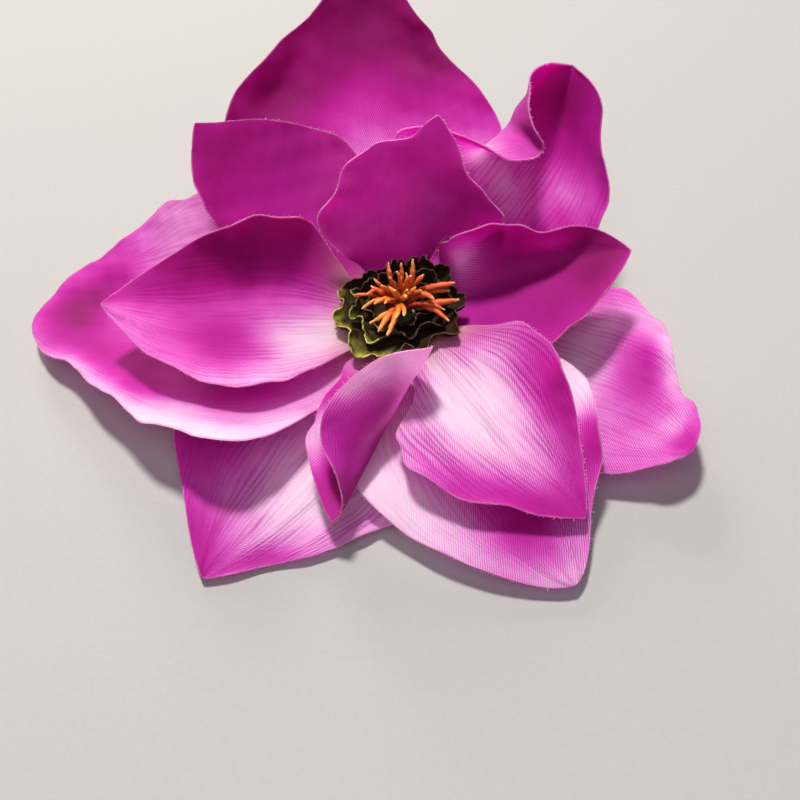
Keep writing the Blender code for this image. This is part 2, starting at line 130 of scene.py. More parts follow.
def mapped(tree, value, low, high, new_low=0.0, new_high=1.0):
    """A value taken from one range to another and held inside it."""
    return node(tree, "ShaderNodeMapRange", {"Value": value, "From Min": low, "From Max": high,
                                             "To Min": new_low, "To Max": new_high}).outputs[0]


def mixed_colour(tree, factor, first, second):
    return node(tree, "ShaderNodeMix", {0: factor, 6: first, 7: second}, data_type="RGBA").outputs[2]


def bumped(tree, height, strength, distance, **more):
    """Normals of a surface raised and sunk by a height; the distance is in metres."""
    inputs = {"Height": height, "Strength": strength, "Distance": distance, **more}
    return node(tree, "ShaderNodeBump", inputs).outputs[0]


def hub_plastic():
    """Waxy green plastic, mottled where the mould flowed, with a fine matt grain."""
    material, tree, shader = new_material("hub_plastic")
    place = object_place(tree)
    flow = noise(tree, place, 220.0, 3.0)
    grain = noise(tree, place, 2600.0)
    feed(tree, shader, {"Base Color": mixed_colour(tree, flow, HUB_GREEN, HUB_GREEN_DUSTY),
                        "Roughness": mapped(tree, flow, 0.0, 1.0, 0.42, 0.6),
                        "Normal": bumped(tree, grain, 0.25, 0.0001)})
    return material


hub = add_object("calyx_hub", *turned_body([
    (0, 0), (HUB_FLAT_RADIUS - 0.4, 0), (HUB_FLAT_RADIUS, 0.12), (HUB_RADIUS - 0.25, 0.6, FLUTE_DEPTH),
    (HUB_RADIUS, 1.0, FLUTE_DEPTH), (HUB_RADIUS - 0.2, 1.8, FLUTE_DEPTH),
    (HUB_RADIUS - 0.8, 3.0, FLUTE_DEPTH), (HUB_RADIUS - 1.5, 4.0), (HUB_RADIUS - 2.2, HUB_HEIGHT - 0.1),
    (HUB_RADIUS - 2.8, HUB_HEIGHT), (POST_RADIUS + 0.3, HUB_HEIGHT), (POST_RADIUS, HUB_HEIGHT + 0.3),
    (POST_RADIUS, POST_TOP - 0.4), (POST_RADIUS - 0.15, POST_TOP - 0.1), (POST_RADIUS - 0.5, POST_TOP),
    (0, POST_TOP)], HUB_SIDES, HUB_FLUTES))
hub.data.set_sharp_from_angle(angle=math.radians(HUB_CREASE_ANGLE))
hub.data.materials.append(hub_plastic())
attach(hub, "root")
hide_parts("hub")


# Outer cloth layer
# Three large petals die-cut in one blank from stiffened polyester satin. The blank is airbrushed with
# magenta, stamped with veins between hot plates, curled by hand and pushed onto the post first.
CLOTH_THICKNESS = 0.32
CLAW = 0.27
HOLE_RADIUS = 3.2
DISC_RADIUS = 10.4
DISC_THICKNESS = 1.0
DISC_SIDES = 96
PETAL_ROWS = 112
PETAL_COLUMNS = 74
TIP_CROWDING = 0.25
BEND_STEPS = 48
PLEAT_PITCH = 3.4
PLEAT_DEPTH = 0.13
RIPPLE = 0.38
CREAM_LENGTH = 6
CLOTH_CREASE_ANGLE = 62
# The crumples are three crossed pairs of waves: strength, then for either wave its rate across, its rate
# along and which of the petal's phases it uses. The edge ripples have a slow and a quick rate and phase.
CRUMPLES = [(1, 3.1, 1.9, 6, -1.4, 2.3, 7), (0.5, 6.3, -3.7, 2, 2.2, 4.9, 4), (0.2, 13, 5, 1, -6, 8, 5)]
LEFT_RIPPLES = [(23, 2), (41, 3)]
RIGHT_RIPPLES = [(26, 4), (37, 5)]
# What a petal states. Places on it are u, from 0 at the root to 1 at the tip, and v, from 1 at its left
# margin, seen from the flower's centre, to -1 at its right one. width is the widest place and widest its u;
# point and round shape the end; left and right give each half's share of the half-width at u. A station on
# the centre line is azimuth, reach and height, then the left half's fold and curl and the right half's, in
# degrees; fold is the share of a half that folds. waves are height, count and start, and crumple is a
# height. The dye level is the dye all over, veins the depth of the stamped veins and cream the paleness of
# the root. A dent or a spray is u, v, its spread along and across, and its depth or its strength; a strength
# below 0 thins the dye. Most sprays are airbrushed dye, but some are painted shade, which darkens places
# where shadows fall, and some are painted light, which thins the dye where a place is lit.
PLAIN_PETAL = dict(widest=0.45, point=1.75, round=0, left=[(0, 1), (1, 1)], right=[(0, 1), (1, 1)], fold=0.5,
                   waves=(0, 1, 0), crumple=0.25, dents=[], cream=0.7)
OUTER_PETALS = {
    "top_back": dict(
        width=66, widest=0.5, point=1.4, waves=(1.6, 2.2, 0.1), crumple=0.4, dye=0.74, veins=0.2,
        left=[(0, 1), (0.4, 1.05), (0.66, 1.24), (0.78, 1.15), (0.85, 1), (1, 1.2)],
        right=[(0, 1), (0.62, 1), (0.76, 0.9), (0.85, 1.02), (1, 1.2)],
        stations=[(96, 7, 5.5, 0, 0, 0, 0), (96, 12.5, 5.6, 0, 0, 0, 0), (97, 28, 9, 8, 14, 6, 12),
                  (98, 50, 22, 8, 14, 8, 14), (97, 70, 40, 6, 12, 6, 12), (95, 80, 53, 0, 0, 0, 0)],
        dents=[(0.66, 0.7, 0.09, 0.2, -2.6), (0.86, -0.1, 0.08, 0.35, -0.7), (0.78, -0.6, 0.08, 0.2, -1.2)],
        # The sprays at u 0.86, at u 0.76 near the right margin and at u 0.64 near the left margin are painted
        # shade in the dents.
        dye_and_light_sprays=[(0.42, 0, 0.14, 0.6, -0.42), (0.4, -0.8, 0.16, 0.4, -0.36), (0.5, 0.85, 0.1, 0.35, 0.35),
                (0.86, 0.1, 0.07, 0.35, 0.34), (0.76, -0.8, 0.06, 0.3, 0.3), (0.88, 0, 0.18, 2, 0.3),
                (0.64, 0.62, 0.07, 0.25, 0.22), (0.6, 0.05, 0.09, 0.3, -0.16)]),
    "bottom_left": dict(
        width=58, widest=0.5, point=1.4, waves=(0.5, 2.4, 0.3), dye=0.28, veins=1.7,
        left=[(0, 1), (0.45, 0.98), (0.6, 0.86), (0.75, 0.84), (0.88, 0.72), (1, 0.8)],
        right=[(0, 1.1), (0.45, 1.18), (0.65, 1.18), (0.85, 1.08), (1, 1.1)],
        stations=[(240, 7, 5.5, 0, 0, 0, 0), (240, 28, 3.2, 0, 2, 0, 2), (239, 52, 1.9, 0, 4, 0, 4),
                  (238, 76, 2, 0, 0, 0, 0)],
        # The spray at u 0.76, v -0.7 is painted light on a place in the left outer petal's shadow; the one at
        # u 0.56, v 0.25 is partly the pale middle and partly painted light there.
        dye_and_light_sprays=[(0.62, -0.8, 0.5, 0.45, 0.36), (0.97, -0.2, 0.12, 1.2, 0.34), (0.84, 0.75, 0.08, 0.3, 0.3),
                (0.56, 0.25, 0.22, 0.45, -0.34), (0.76, -0.7, 0.1, 0.3, -0.12)]),
    "right_outer": dict(
        width=55, widest=0.52, point=2.4, round=0.4, waves=(1.0, 2.6, 0.15), crumple=0.7, dye=0.4, veins=0.9,
        left=[(0, 1), (0.3, 1.1), (0.5, 1.25), (0.66, 1.06), (0.84, 0.68), (0.92, 0.84), (1, 1.1)],
        right=[(0, 1), (0.6, 1), (0.84, 0.78), (0.92, 0.8), (1, 1.1)],
        stations=[(336, 7, 5.5, 0, 0, 0, 0), (335, 30, 3.4, 4, 6, 0, 0), (332, 54, 5.4, 6, 8, 0, 2),
                  (328, 73, 11, 0, 0, 0, 0)],
        dents=[(0.72, 0.8, 0.06, 0.25, 1.6)],
        # The spray at u 0.5, v 0.2 is partly pale cloth and partly painted light where the centre right
        # petal's shadow falls; the one at u 0.65, v 0.25 is painted shade in a fold.
        dye_and_light_sprays=[(0.68, 0.62, 0.1, 0.34, 0.3), (0.97, 0.2, 0.05, 0.6, 0.3), (0.5, 0.2, 0.16, 0.6, -0.34),
                (0.84, -0.3, 0.1, 0.4, -0.04), (0.45, 0.9, 0.1, 0.25, 0.12), (0.65, 0.25, 0.13, 0.3, 0.1),
                (0.72, 0.95, 0.12, 0.25, -0.3), (0.9, 0.4, 0.05, 0.35, -0.16)]),
}


def eased(values, pairs):
    """Values read from (place, value) pairs, easing smoothly from each to the next."""
    places = np.array([place for place, _ in pairs], float)
    levels = np.array([level for _, level in pairs], float)
    index = np.clip(np.searchsorted(places, values, side="right") - 1, 0, len(places) - 2)
    step = (values - places[index]) / (places[index + 1] - places[index])
    step = step * step * (3 - 2 * step)
    return levels[index] * (1 - step) + levels[index + 1] * step


def spot(u, v, place, across, reach, breadth, strength):
    """A soft round spot on a petal: a dent's depth or a spray's dye."""
    return strength * np.exp(-((u - place) / reach) ** 2 - ((v - across) / breadth) ** 2)


def outline(rows, petal):
    """Half-width of the die-cut outline at each row, as a share of the widest one."""
    widest = petal["widest"]
    rise = CLAW + (1 - CLAW) * np.sin(np.clip(rows / widest, 0, 1) * np.pi / 2) ** 1.15
    towards_tip = np.clip((rows - widest) / (1 - widest), 0, 1)
    blunt = 0.9 - 0.4 * petal["round"] * towards_tip**4
    fall = (1 - towards_tip ** petal["point"]) ** blunt
    return np.where(rows < widest, rise, fall)


def stations_in_space(petal):
    """The stations as rows of x, y, height, the two folds and curls, and azimuth."""
    table = np.array(petal["stations"], float)
    azimuth = np.radians(table[:, 0])
    return np.column_stack([table[:, 1] * np.cos(azimuth), table[:, 1] * np.sin(azimuth), table[:, 2:],
                            table[:, 0]])


def spline(stations, rows):
    """Smooth curve through the stations, read at rows from 0 to 1 of its length."""
    steps = np.linalg.norm(np.diff(stations[:, :3], axis=0), axis=1)
    places = np.concatenate([[0], np.cumsum(steps)]) / steps.sum()
    slopes = np.empty_like(stations)
    last = len(stations) - 1
    for i in range(last + 1):
        before, after = max(i - 1, 0), min(i + 1, last)
        slopes[i] = (stations[after] - stations[before]) / (places[after] - places[before])
    rows = np.clip(rows, 0, 1)
    index = np.clip(np.searchsorted(places, rows, side="right") - 1, 0, last - 1)
    span = (places[index + 1] - places[index])[:, None]
    t = (rows - places[index])[:, None] / span
    return ((2 * t**3 - 3 * t**2 + 1) * stations[index] + (t**3 - 2 * t**2 + t) * span * slopes[index]
            + (3 * t**2 - 2 * t**3) * stations[index + 1] + (t**3 - t**2) * span * slopes[index + 1])


def surface_normals(grid):
    """Unit normals of a petal's grid; the tip takes the mean of the row before it."""
    normals = np.cross(np.gradient(grid, axis=0), np.gradient(grid, axis=1))
    size = np.linalg.norm(normals, axis=2, keepdims=True)
    normals = normals / np.where(size < 1e-9, 1, size)
    mean = normals[-3].mean(axis=0)
    normals[-1] = mean / np.linalg.norm(mean)
    return normals


def centre_line(petal, rows):
    """The centre line at each row, and its directions to the left margin and up out of the cloth."""
    stations = stations_in_space(petal)
    line = spline(stations, rows)
    nearby = 0.001
    along = spline(stations, rows + nearby)[:, :3] - spline(stations, rows - nearby)[:, :3]
    along /= np.linalg.norm(along, axis=1)[:, None]
    turn = np.radians(line[:, 7])
    side = np.column_stack([-np.sin(turn), np.cos(turn), np.zeros_like(turn)])
    side -= (side * along).sum(axis=1)[:, None] * along
    side /= np.linalg.norm(side, axis=1)[:, None]
    return line, side, np.cross(along, side)


def bent_cloth(petal, rows, half, columns):
    """Each half bent up from the centre line by its fold and curl; also how far each point lies from the
    centre line on the flat cloth, and the petal's length."""
    line, side, up = centre_line(petal, rows)
    surface = np.zeros((len(rows), len(columns), 3))
    lateral = np.zeros((len(rows), len(columns)))
    steps = (np.arange(BEND_STEPS) + 0.5) / BEND_STEPS
    folded = np.clip(steps / petal["fold"], 0, 1)
    folded = folded * folded * (3 - 2 * folded)
    for hand, lean_column, name in ((1, 3, "left"), (-1, 5, "right")):
        share = eased(rows, petal[name])
        angle = np.radians(line[:, lean_column, None] * folded + line[:, lean_column + 1, None] * steps**1.6)
        reach = (half * share / BEND_STEPS)[:, None]
        start = np.zeros((len(rows), 1))
        out = np.concatenate([start, np.cumsum(np.cos(angle) * reach, axis=1)], axis=1)
        lift = np.concatenate([start, np.cumsum(np.sin(angle) * reach, axis=1)], axis=1)
        for j in np.where(columns * hand >= 0)[0]:
            place = abs(columns[j]) * BEND_STEPS
            k = min(int(place), BEND_STEPS - 1)
            f = place - k
            x = out[:, k] * (1 - f) + out[:, k + 1] * f
            y = lift[:, k] * (1 - f) + lift[:, k + 1] * f
            surface[:, j] = line[:, :3] + hand * x[:, None] * side + y[:, None] * up
            lateral[:, j] = columns[j] * half * share
    return surface, lateral, np.linalg.norm(np.diff(line[:, :3], axis=0), axis=1).sum()


def relief(petal, u, v, lateral, length, phases):
    """Height over the bent cloth of the margin waves, the dents, the crumples and the rippled edges."""
    height, count, start = petal["waves"]
    inland = np.sin(np.pi * u)
    waves = height * np.abs(v) ** 3 * np.sin(2 * np.pi * (count * u + start + 0.35 * (v > 0))) * inland
    dents = sum(spot(u, v, *dent) for dent in petal["dents"])
    x, y = lateral / 10, u * length / 10
    crumple = sum(strength * np.sin(a * x + b * y + phases[p]) * np.sin(c * x + d * y + phases[q])
                  for strength, a, b, p, c, d, q in CRUMPLES)
    crumple = petal["crumple"] * crumple * (0.35 + 0.65 * v**2) * np.clip(3 * u - 0.6, 0, 1)
    slow, quick = [np.where(v > 0, np.sin(left * u + phases[i]), np.sin(right * u + phases[j]))
                   for (left, i), (right, j) in zip(LEFT_RIPPLES, RIGHT_RIPPLES)]
    return waves + dents + crumple + RIPPLE * np.abs(v) ** 6 * inland * (slow + 0.6 * quick)


def petal_surface(petal, seed):
    """Middle surface of a finished petal and what its cloth carries at each point: flat place, vein number,
    distance to the cut, dye with its painted shade and painted light, pale root and depth of the stamped
    veins."""
    even = np.linspace(0, 1, PETAL_ROWS + 1)
    rows = (1 - TIP_CROWDING) * even + TIP_CROWDING * even * (2 - even)
    columns = np.linspace(-1, 1, PETAL_COLUMNS + 1)
    half = 0.5 * petal["width"] * outline(rows, petal)
    surface, lateral, length = bent_cloth(petal, rows, half, columns)
    u, v = rows[:, None], columns[None, :]
    draw = random.Random(seed)
    phases = [draw.uniform(0, 2 * math.pi) for _ in range(8)]
    # The dye level with the sprays added: besides dye, it carries painted shade and painted light.
    dye = petal["dye"] + sum(spot(u, v, *painted_spot) for painted_spot in petal["dye_and_light_sprays"])
    vein = lateral / (half[:, None] / half.max() + 1e-6) ** 0.75
    ribs = petal["veins"] * np.clip(1.3 - 1.5 * dye, 0.15, 1)
    depth = ribs * (0.55 + 0.45 * np.sin(5 * u + 2.2 * v + phases[0])) * np.sin(np.pi * u**0.8)
    pleat = PLEAT_DEPTH * depth * np.sin(2 * np.pi * vein / PLEAT_PITCH + 1.2 * np.sin(4 * u + phases[1]))
    height = relief(petal, u, v, lateral, length, phases) + pleat
    surface = surface + surface_normals(surface) * height[:, :, None]
    cut = np.minimum((1 - np.abs(v)) * half[:, None], (1 - u) * length)
    base = petal["cream"] * np.exp(-((u * length - 2) / CREAM_LENGTH) ** 2) * np.ones_like(v)
    return surface, dict(flat_x=lateral, flat_y=u * length + 0 * v, vein=vein, cut=cut, dye=dye, base=base,
                         ribs=ribs)


def petal_shell(surface, facts):
    """Both faces and the cut rim of a petal's cloth, closed at the tip by one point on each face."""
    normals = surface_normals(surface) * CLOTH_THICKNESS / 2
    row_count, column_count = surface.shape[:2]
    body = (row_count - 1) * column_count
    verts, values = [], {name: [] for name in facts}
    for sign in (1, -1):
        verts += [(surface + sign * normals)[:-1].reshape(-1, 3), (surface + sign * normals)[-1:, 0]]
        for name, grid in facts.items():
            values[name] += [grid[:-1].reshape(-1), grid[-1:, column_count // 2]]
    values = {name: np.concatenate(parts) for name, parts in values.items()}
    under = body + 1
    values["back"] = np.concatenate([np.zeros(under), np.ones(under)])
    faces = []
    for j in range(column_count - 1):
        faces.append((j, j + 1, j + 1 + under, j + under))
        a = (row_count - 2) * column_count + j
        faces.append((a, body, a + 1))
        faces.append((a + 1 + under, body + under, a + under))
        for i in range(row_count - 2):
            a = i * column_count + j
            b, c, d = a + 1, a + column_count + 1, a + column_count
            faces.append((a, d, c, b))
            faces.append((b + under, c + under, d + under, a + under))
    for i in range(row_count - 1):
        right, left = i * column_count, i * column_count + column_count - 1
        last = i == row_count - 2
        further_right = body if last else right + column_count
        further_left = body if last else left + column_count
        faces.append((further_right, right, right + under, further_right + under))
        faces.append((left, further_left, further_left + under, left + under))
    return np.concatenate(verts), faces, values


def blank_middle(height):
    """The blank's disc, with the hole that goes over the post."""
    low, high = height - DISC_THICKNESS / 2, height + DISC_THICKNESS / 2
    return turned_body([(HOLE_RADIUS, low), (DISC_RADIUS, low), (DISC_RADIUS, high), (HOLE_RADIUS, high)],
                       DISC_SIDES, hole=True)


def flat_blank(petals):
    """Width, length and area of a blank before it was curled, in metres and square metres."""
    points, area = [], math.pi * DISC_RADIUS**2
    rows = np.linspace(0, 1, 60)
    for petal in petals:
        stations = stations_in_space(petal)
        length = np.linalg.norm(np.diff(stations[:, :3], axis=0), axis=1).sum()
        half = 0.5 * petal["width"] * outline(rows, petal)
        turn = math.radians(stations[0, 7])
        for hand, name in ((1, "left"), (-1, "right")):
            reach = half * eased(rows, petal[name])
            out = petal["stations"][0][1] + rows * length
            points.append(np.column_stack([out * np.cos(turn) - hand * reach * np.sin(turn),
                                           out * np.sin(turn) + hand * reach * np.cos(turn)]))
            area += float(((reach[1:] + reach[:-1]) / 2 * np.diff(rows)).sum()) * length
    spread = np.ptp(np.concatenate(points), axis=0)
    return (float(spread[0]) * MM, float(spread[1]) * MM), area * MM * MM


def carry(obj, facts):
    """Writes a named number for every point of a mesh."""
    for name, values in facts.items():
        attribute = obj.data.attributes.new(name, "FLOAT", "POINT")
        attribute.data.foreach_set("value", np.asarray(values, np.float32))


def joined(name, parts):
    """One mesh object from the points and faces of several parts."""
    verts, faces, count = [], [], 0
    for part_verts, part_faces in parts:
        verts.append(part_verts)
        faces += [tuple(k + count for k in face) for face in part_faces]
        count += len(part_verts)
    return add_object(name, np.concatenate(verts), faces)


def cloth_layer(name, petals, height, seed):
    """One blank: its petals and disc in one mesh, with the cloth's facts as UV maps and attributes."""
    parts, values, margins = [], [], []
    for number, petal in enumerate(petals):
        surface, carried = petal_surface(petal, seed + number)
        *part, value = petal_shell(surface, carried)
        parts.append(part)
        values.append(value)
        margins += [(surface[:, 0], surface[:, 0] - surface[:, 1]),
                    (surface[:, -1], surface[:, -1] - surface[:, -2])]
    disc = blank_middle(height)
    parts.append(disc)
    values.append(dict(flat_x=disc[0][:, 0], flat_y=disc[0][:, 1], cut=5, dye=0.3, base=1, vein=0, ribs=0,
                       back=0))
    obj = joined(name, parts)
    facts = {key: np.concatenate([np.broadcast_to(value[key], len(part[0]))
                                  for part, value in zip(parts, values)]) for key in values[-1]}
    corners = np.empty(len(obj.data.loops), int)
    obj.data.loops.foreach_get("vertex_index", corners)
    for layer, x, y in (("cloth", "flat_x", "flat_y"), ("veins", "vein", "flat_y")):
        places = np.column_stack([facts[x], facts[y]])[corners] / 10
        obj.data.uv_layers.new(name=layer).data.foreach_set("uv", places.astype(np.float32).ravel())
    carry(obj, {key: facts[key] for key in ("cut", "dye", "base", "ribs", "back")})
    obj.data.set_sharp_from_angle(angle=math.radians(CLOTH_CREASE_ANGLE))
    return obj, margins


def carried_by(tree, name):
    """A number that the mesh carries, read in a material."""
    return node(tree, "ShaderNodeAttribute", attribute_name=name).outputs["Fac"]


def group_sockets(group, inputs, outputs):
    """Gives a node group its named inputs and outputs. Returns what comes in and the node that ends it."""
    for name, (kind, value) in inputs.items():
        socket = group.interface.new_socket(name, in_out="INPUT", socket_type="NodeSocket" + kind)
        if value is not None:
            socket.default_value = value
    for name, kind in outputs.items():
        group.interface.new_socket(name, in_out="OUTPUT", socket_type="NodeSocket" + kind)
    return group.nodes.new("NodeGroupInput").outputs, group.nodes.new("NodeGroupOutput")


def mathed(tree, operation, *values):
    return node(tree, "ShaderNodeMath", dict(enumerate(values)), operation=operation).outputs[0]


def times(tree, first, second, *plus):
    """first times second, plus a third where it is given."""
    return mathed(tree, "MULTIPLY_ADD" if plus else "MULTIPLY", first, second, *plus)


def sine_of(tree, value, turns, shift=0.0):
    """sin(2 pi turns value + shift)."""
    return mathed(tree, "SINE", times(tree, value, 2 * math.pi * turns, shift))


def satin_weave_group():
    """Twill ribs of a satin, from the cloth's flat place in centimetres."""
    tree = bpy.data.node_groups.new("satin_weave", "ShaderNodeTree")
    given, leave = group_sockets(tree, {"Cloth": ("Vector", None), "Pitch mm": ("Float", 0.55)},
                                 {"Height": "Float", "Thread": "Float"})
    place = node(tree, "ShaderNodeSeparateXYZ", {0: given["Cloth"]}).outputs
    per_pitch = mathed(tree, "DIVIDE", 10.0, given["Pitch mm"])
    waver = noise(tree, given["Cloth"], 6.0, 1.0)
    warp = times(tree, times(tree, waver, 0.05, place["X"]), per_pitch)
    weft = times(tree, place["Y"], per_pitch)
    rib = sine_of(tree, mathed(tree, "ADD", warp, times(tree, weft, 0.6)), 1.0)
    across = sine_of(tree, mathed(tree, "SUBTRACT", weft, times(tree, warp, 0.35)), 1.7)
    slub = noise(tree, given["Cloth"], 38.0, 3.0, Roughness=0.7)
    height = mathed(tree, "ADD", times(tree, across, 0.45, rib), slub)
    feed(tree, leave, {"Height": height, "Thread": mapped(tree, height, -0.6, 1.7)})
    return tree


def stamped_veins_group():
    """Fine curved veins pressed along the petal and its middle crease, from vein place and flat place."""
    tree = bpy.data.node_groups.new("stamped_veins", "ShaderNodeTree")
    given, leave = group_sockets(
        tree, {"Veins": ("Vector", None), "Cloth": ("Vector", None), "Pitch mm": ("Float", 1.5)},
        {"Height": "Float", "Groove": "Float"})
    stretched = node(tree, "ShaderNodeMapping", {"Vector": given["Veins"], "Scale": (1.0, 0.22, 1.0)})
    wander = noise(tree, stretched, 1.6)
    place = node(tree, "ShaderNodeSeparateXYZ", {0: given["Veins"]}).outputs
    bent = times(tree, wander, 0.55, place["X"])
    count = times(tree, bent, mathed(tree, "DIVIDE", 10.0, given["Pitch mm"]))
    wave = times(tree, sine_of(tree, count, 1.0), 0.5, 0.5)
    fine = times(tree, sine_of(tree, count, 2.3, 0.9), 0.5, 0.5)
    ridge = times(tree, fine, 0.3, mathed(tree, "POWER", wave, 0.8))
    patches = node(tree, "ShaderNodeMapping", {"Vector": given["Veins"], "Scale": (1.5, 0.5, 1.0)})
    deep = mapped(tree, noise(tree, patches, 1.1), 0.35, 0.62)
    flat = node(tree, "ShaderNodeSeparateXYZ", {0: given["Cloth"]}).outputs
    off = mathed(tree, "DIVIDE", flat["X"], 0.035)
    crease = mathed(tree, "EXPONENT", times(tree, times(tree, off, off), -1.0))
    height = times(tree, crease, -0.9, times(tree, ridge, deep))
    groove = mapped(tree, mathed(tree, "SUBTRACT", 1.0, ridge), 0.0, 0.7)
    feed(tree, leave, {"Height": height, "Groove": times(tree, groove, deep)})
    return tree


satin_weave = satin_weave_group()
stamped_veins = stamped_veins_group()
DYE_STEPS = [(0.0, (0.95, 0.83, 0.92, 1)), (0.2, (0.90, 0.56, 0.84, 1)), (0.42, (0.78, 0.12, 0.66, 1)),
             (0.62, (0.66, 0.015, 0.47, 1)), (1.0, (0.40, 0.002, 0.20, 1))]
BASE_CREAM = (0.80, 0.62, 0.42, 1)
RAW_CUT = (0.82, 0.42, 0.66, 1)
SATIN_SHEEN = (1.0, 0.75, 0.95, 1)
VEIN_PITCH = 1.5
WEAVE_PITCH = 0.55
LIGHT_THROUGH = 0.66


def ramped(tree, factor, stops):
    """Colours read from (place, colour) stops."""
    ramp = node(tree, "ShaderNodeValToRGB", {0: factor})
    elements = ramp.color_ramp.elements
    elements.remove(elements[1])
    elements[0].position, elements[0].color = stops[0]
    for place, colour in stops[1:]:
        elements.new(place).color = colour
    return ramp.outputs[0]


def petal_satin(name):
    """Dyed satin that lets light through: dye thins to white cloth and speckles on the threads, and painted
    shade darkens the stamped vein grooves; the carried dye level also holds painted shade and painted light.
    The back is paler and the cut edge shows raw thread. Thick dye fills the weave, which makes it duller and
    smoother."""
    material, tree, shader = new_material(name)
    cloth, veins = [node(tree, "ShaderNodeUVMap", uv_map=key) for key in ("cloth", "veins")]
    cut, carried_dye_and_light, base, ribs, back = [carried_by(tree, key) for key in ("cut", "dye", "base", "ribs", "back")]
    weave = node(tree, "ShaderNodeGroup", {"Cloth": cloth, "Pitch mm": WEAVE_PITCH}, node_tree=satin_weave)
    stamped = node(tree, "ShaderNodeGroup", {"Veins": veins, "Cloth": cloth, "Pitch mm": VEIN_PITCH},
                   node_tree=stamped_veins)
    cloud = noise(tree, cloth, 0.9, 4.0, Roughness=0.55)
    # The carried dye level holds painted shade and painted light as well as dye.
    dye = times(tree, cloud, 0.26, mathed(tree, "SUBTRACT", carried_dye_and_light, 0.13))
    dye = times(tree, weave.outputs["Thread"], 0.2, mathed(tree, "SUBTRACT", dye, 0.1))
    # Painted shade in the stamped vein grooves: the dye level rises where they sink.
    painted_groove_shade = times(tree, stamped.outputs["Groove"], ribs)
    dye = times(tree, painted_groove_shade, 0.1, dye)
    dye = times(tree, back, -0.26, dye)
    colour = mixed_colour(tree, base, ramped(tree, dye, DYE_STEPS), BASE_CREAM)
    raw = mapped(tree, cut, 0.08, 0.4, 1.0, 0.0)
    worn = noise(tree, cloth, 3.5)
    colour = mixed_colour(tree, times(tree, raw, worn), colour, RAW_CUT)
    filled = mapped(tree, carried_dye_and_light, 0.35, 0.7)
    rough = mapped(tree, weave.outputs["Thread"], 0.0, 1.0, 0.5, 0.36)
    pressed = bumped(tree, times(tree, stamped.outputs["Height"], ribs), 0.75, 0.00022)
    open_weave = times(tree, filled, -0.55, 1.0)
    woven = times(tree, weave.outputs["Height"], open_weave)
    feed(tree, shader, {"Base Color": colour,
                        "Roughness": times(tree, filled, 0.22, rough),
                        "Specular IOR Level": 0.28, "Sheen Weight": 0.05, "Sheen Roughness": 0.4,
                        "Sheen Tint": SATIN_SHEEN,
                        "Normal": bumped(tree, woven, 0.5, 0.00005, Normal=pressed)})
    deeper = node(tree, "ShaderNodeGamma", {"Color": colour, "Gamma": 1.5})
    glow = node(tree, "ShaderNodeBsdfTranslucent", {"Color": deeper})
    both = node(tree, "ShaderNodeMixShader", {0: LIGHT_THROUGH, 1: shader, 2: glow})
    feed(tree, tree.nodes["Material Output"], {"Surface": both})
    return material


THREAD_PALE = (0.88, 0.58, 0.74, 1)
THREAD_PINK = (0.74, 0.30, 0.56, 1)
UNFRAYED_ROOT_ROWS = 14


def end_tree(tree, geometry, given, leave):
    """Ends a geometry tree with real geometry in the material given to it."""
    real = node(tree, "GeometryNodeRealizeInstances", {0: geometry})
    dressed = node(tree, "GeometryNodeSetMaterial", {"Geometry": real, "Material": given["Material"]})
    feed(tree, leave, {"Geometry": dressed})
    return tree


def fray_tree():
    """Short loose threads stood along a cut edge: each margin is resampled and carries thin bent threads."""
    tree = bpy.data.node_groups.new("fray_threads", "GeometryNodeTree")
    given, leave = group_sockets(
        tree, {"Geometry": ("Geometry", None), "Spacing": ("Float", 0.0008),
               "Thread length": ("Float", 0.0007), "Thread radius": ("Float", 0.00004), "Seed": ("Int", 1),
               "Material": ("Material", None)},
        {"Geometry": "Geometry"})
    margin = node(tree, "GeometryNodeMeshToCurve", {0: given["Geometry"]})
    stops = node(tree, "GeometryNodeResampleCurve", {"Curve": margin, "Length": given["Spacing"]},
                 mode="LENGTH")
    outwards = node(tree, "GeometryNodeInputNamedAttribute", {"Name": "outwards"}, data_type="FLOAT_VECTOR")
    stray = node(tree, "FunctionNodeRandomValue",
                 {0: (-0.7, -0.7, -0.7), 1: (0.7, 0.7, 0.7), "Seed": given["Seed"]}, data_type="FLOAT_VECTOR")
    aim = node(tree, "ShaderNodeVectorMath", {0: outwards, 1: stray}, operation="ADD")
    turned = node(tree, "FunctionNodeAlignRotationToVector", {"Vector": aim}, axis="Z")
    line = node(tree, "GeometryNodeCurvePrimitiveBezierSegment", {
        "Resolution": 3, "Start": (0, 0, -0.15), "Start Handle": (0, 0, 0.3), "End Handle": (0.1, 0, 0.7),
        "End": (0.35, 0.1, 1.0)})
    ratio = mathed(tree, "DIVIDE", given["Thread radius"], given["Thread length"])
    profile = node(tree, "GeometryNodeCurvePrimitiveCircle", {"Resolution": 3, "Radius": ratio})
    thread = node(tree, "GeometryNodeCurveToMesh", {"Curve": line, "Profile Curve": profile,
                                                    "Fill Caps": True})
    share = node(tree, "FunctionNodeRandomValue", {2: 0.25, 3: 1.0, "Seed": given["Seed"]}, data_type="FLOAT")
    scale = times(tree, share.outputs[1], given["Thread length"])
    placed = node(tree, "GeometryNodeInstanceOnPoints", {"Points": stops, "Instance": thread,
                                                         "Rotation": turned, "Scale": scale})
    return end_tree(tree, placed, given, leave)


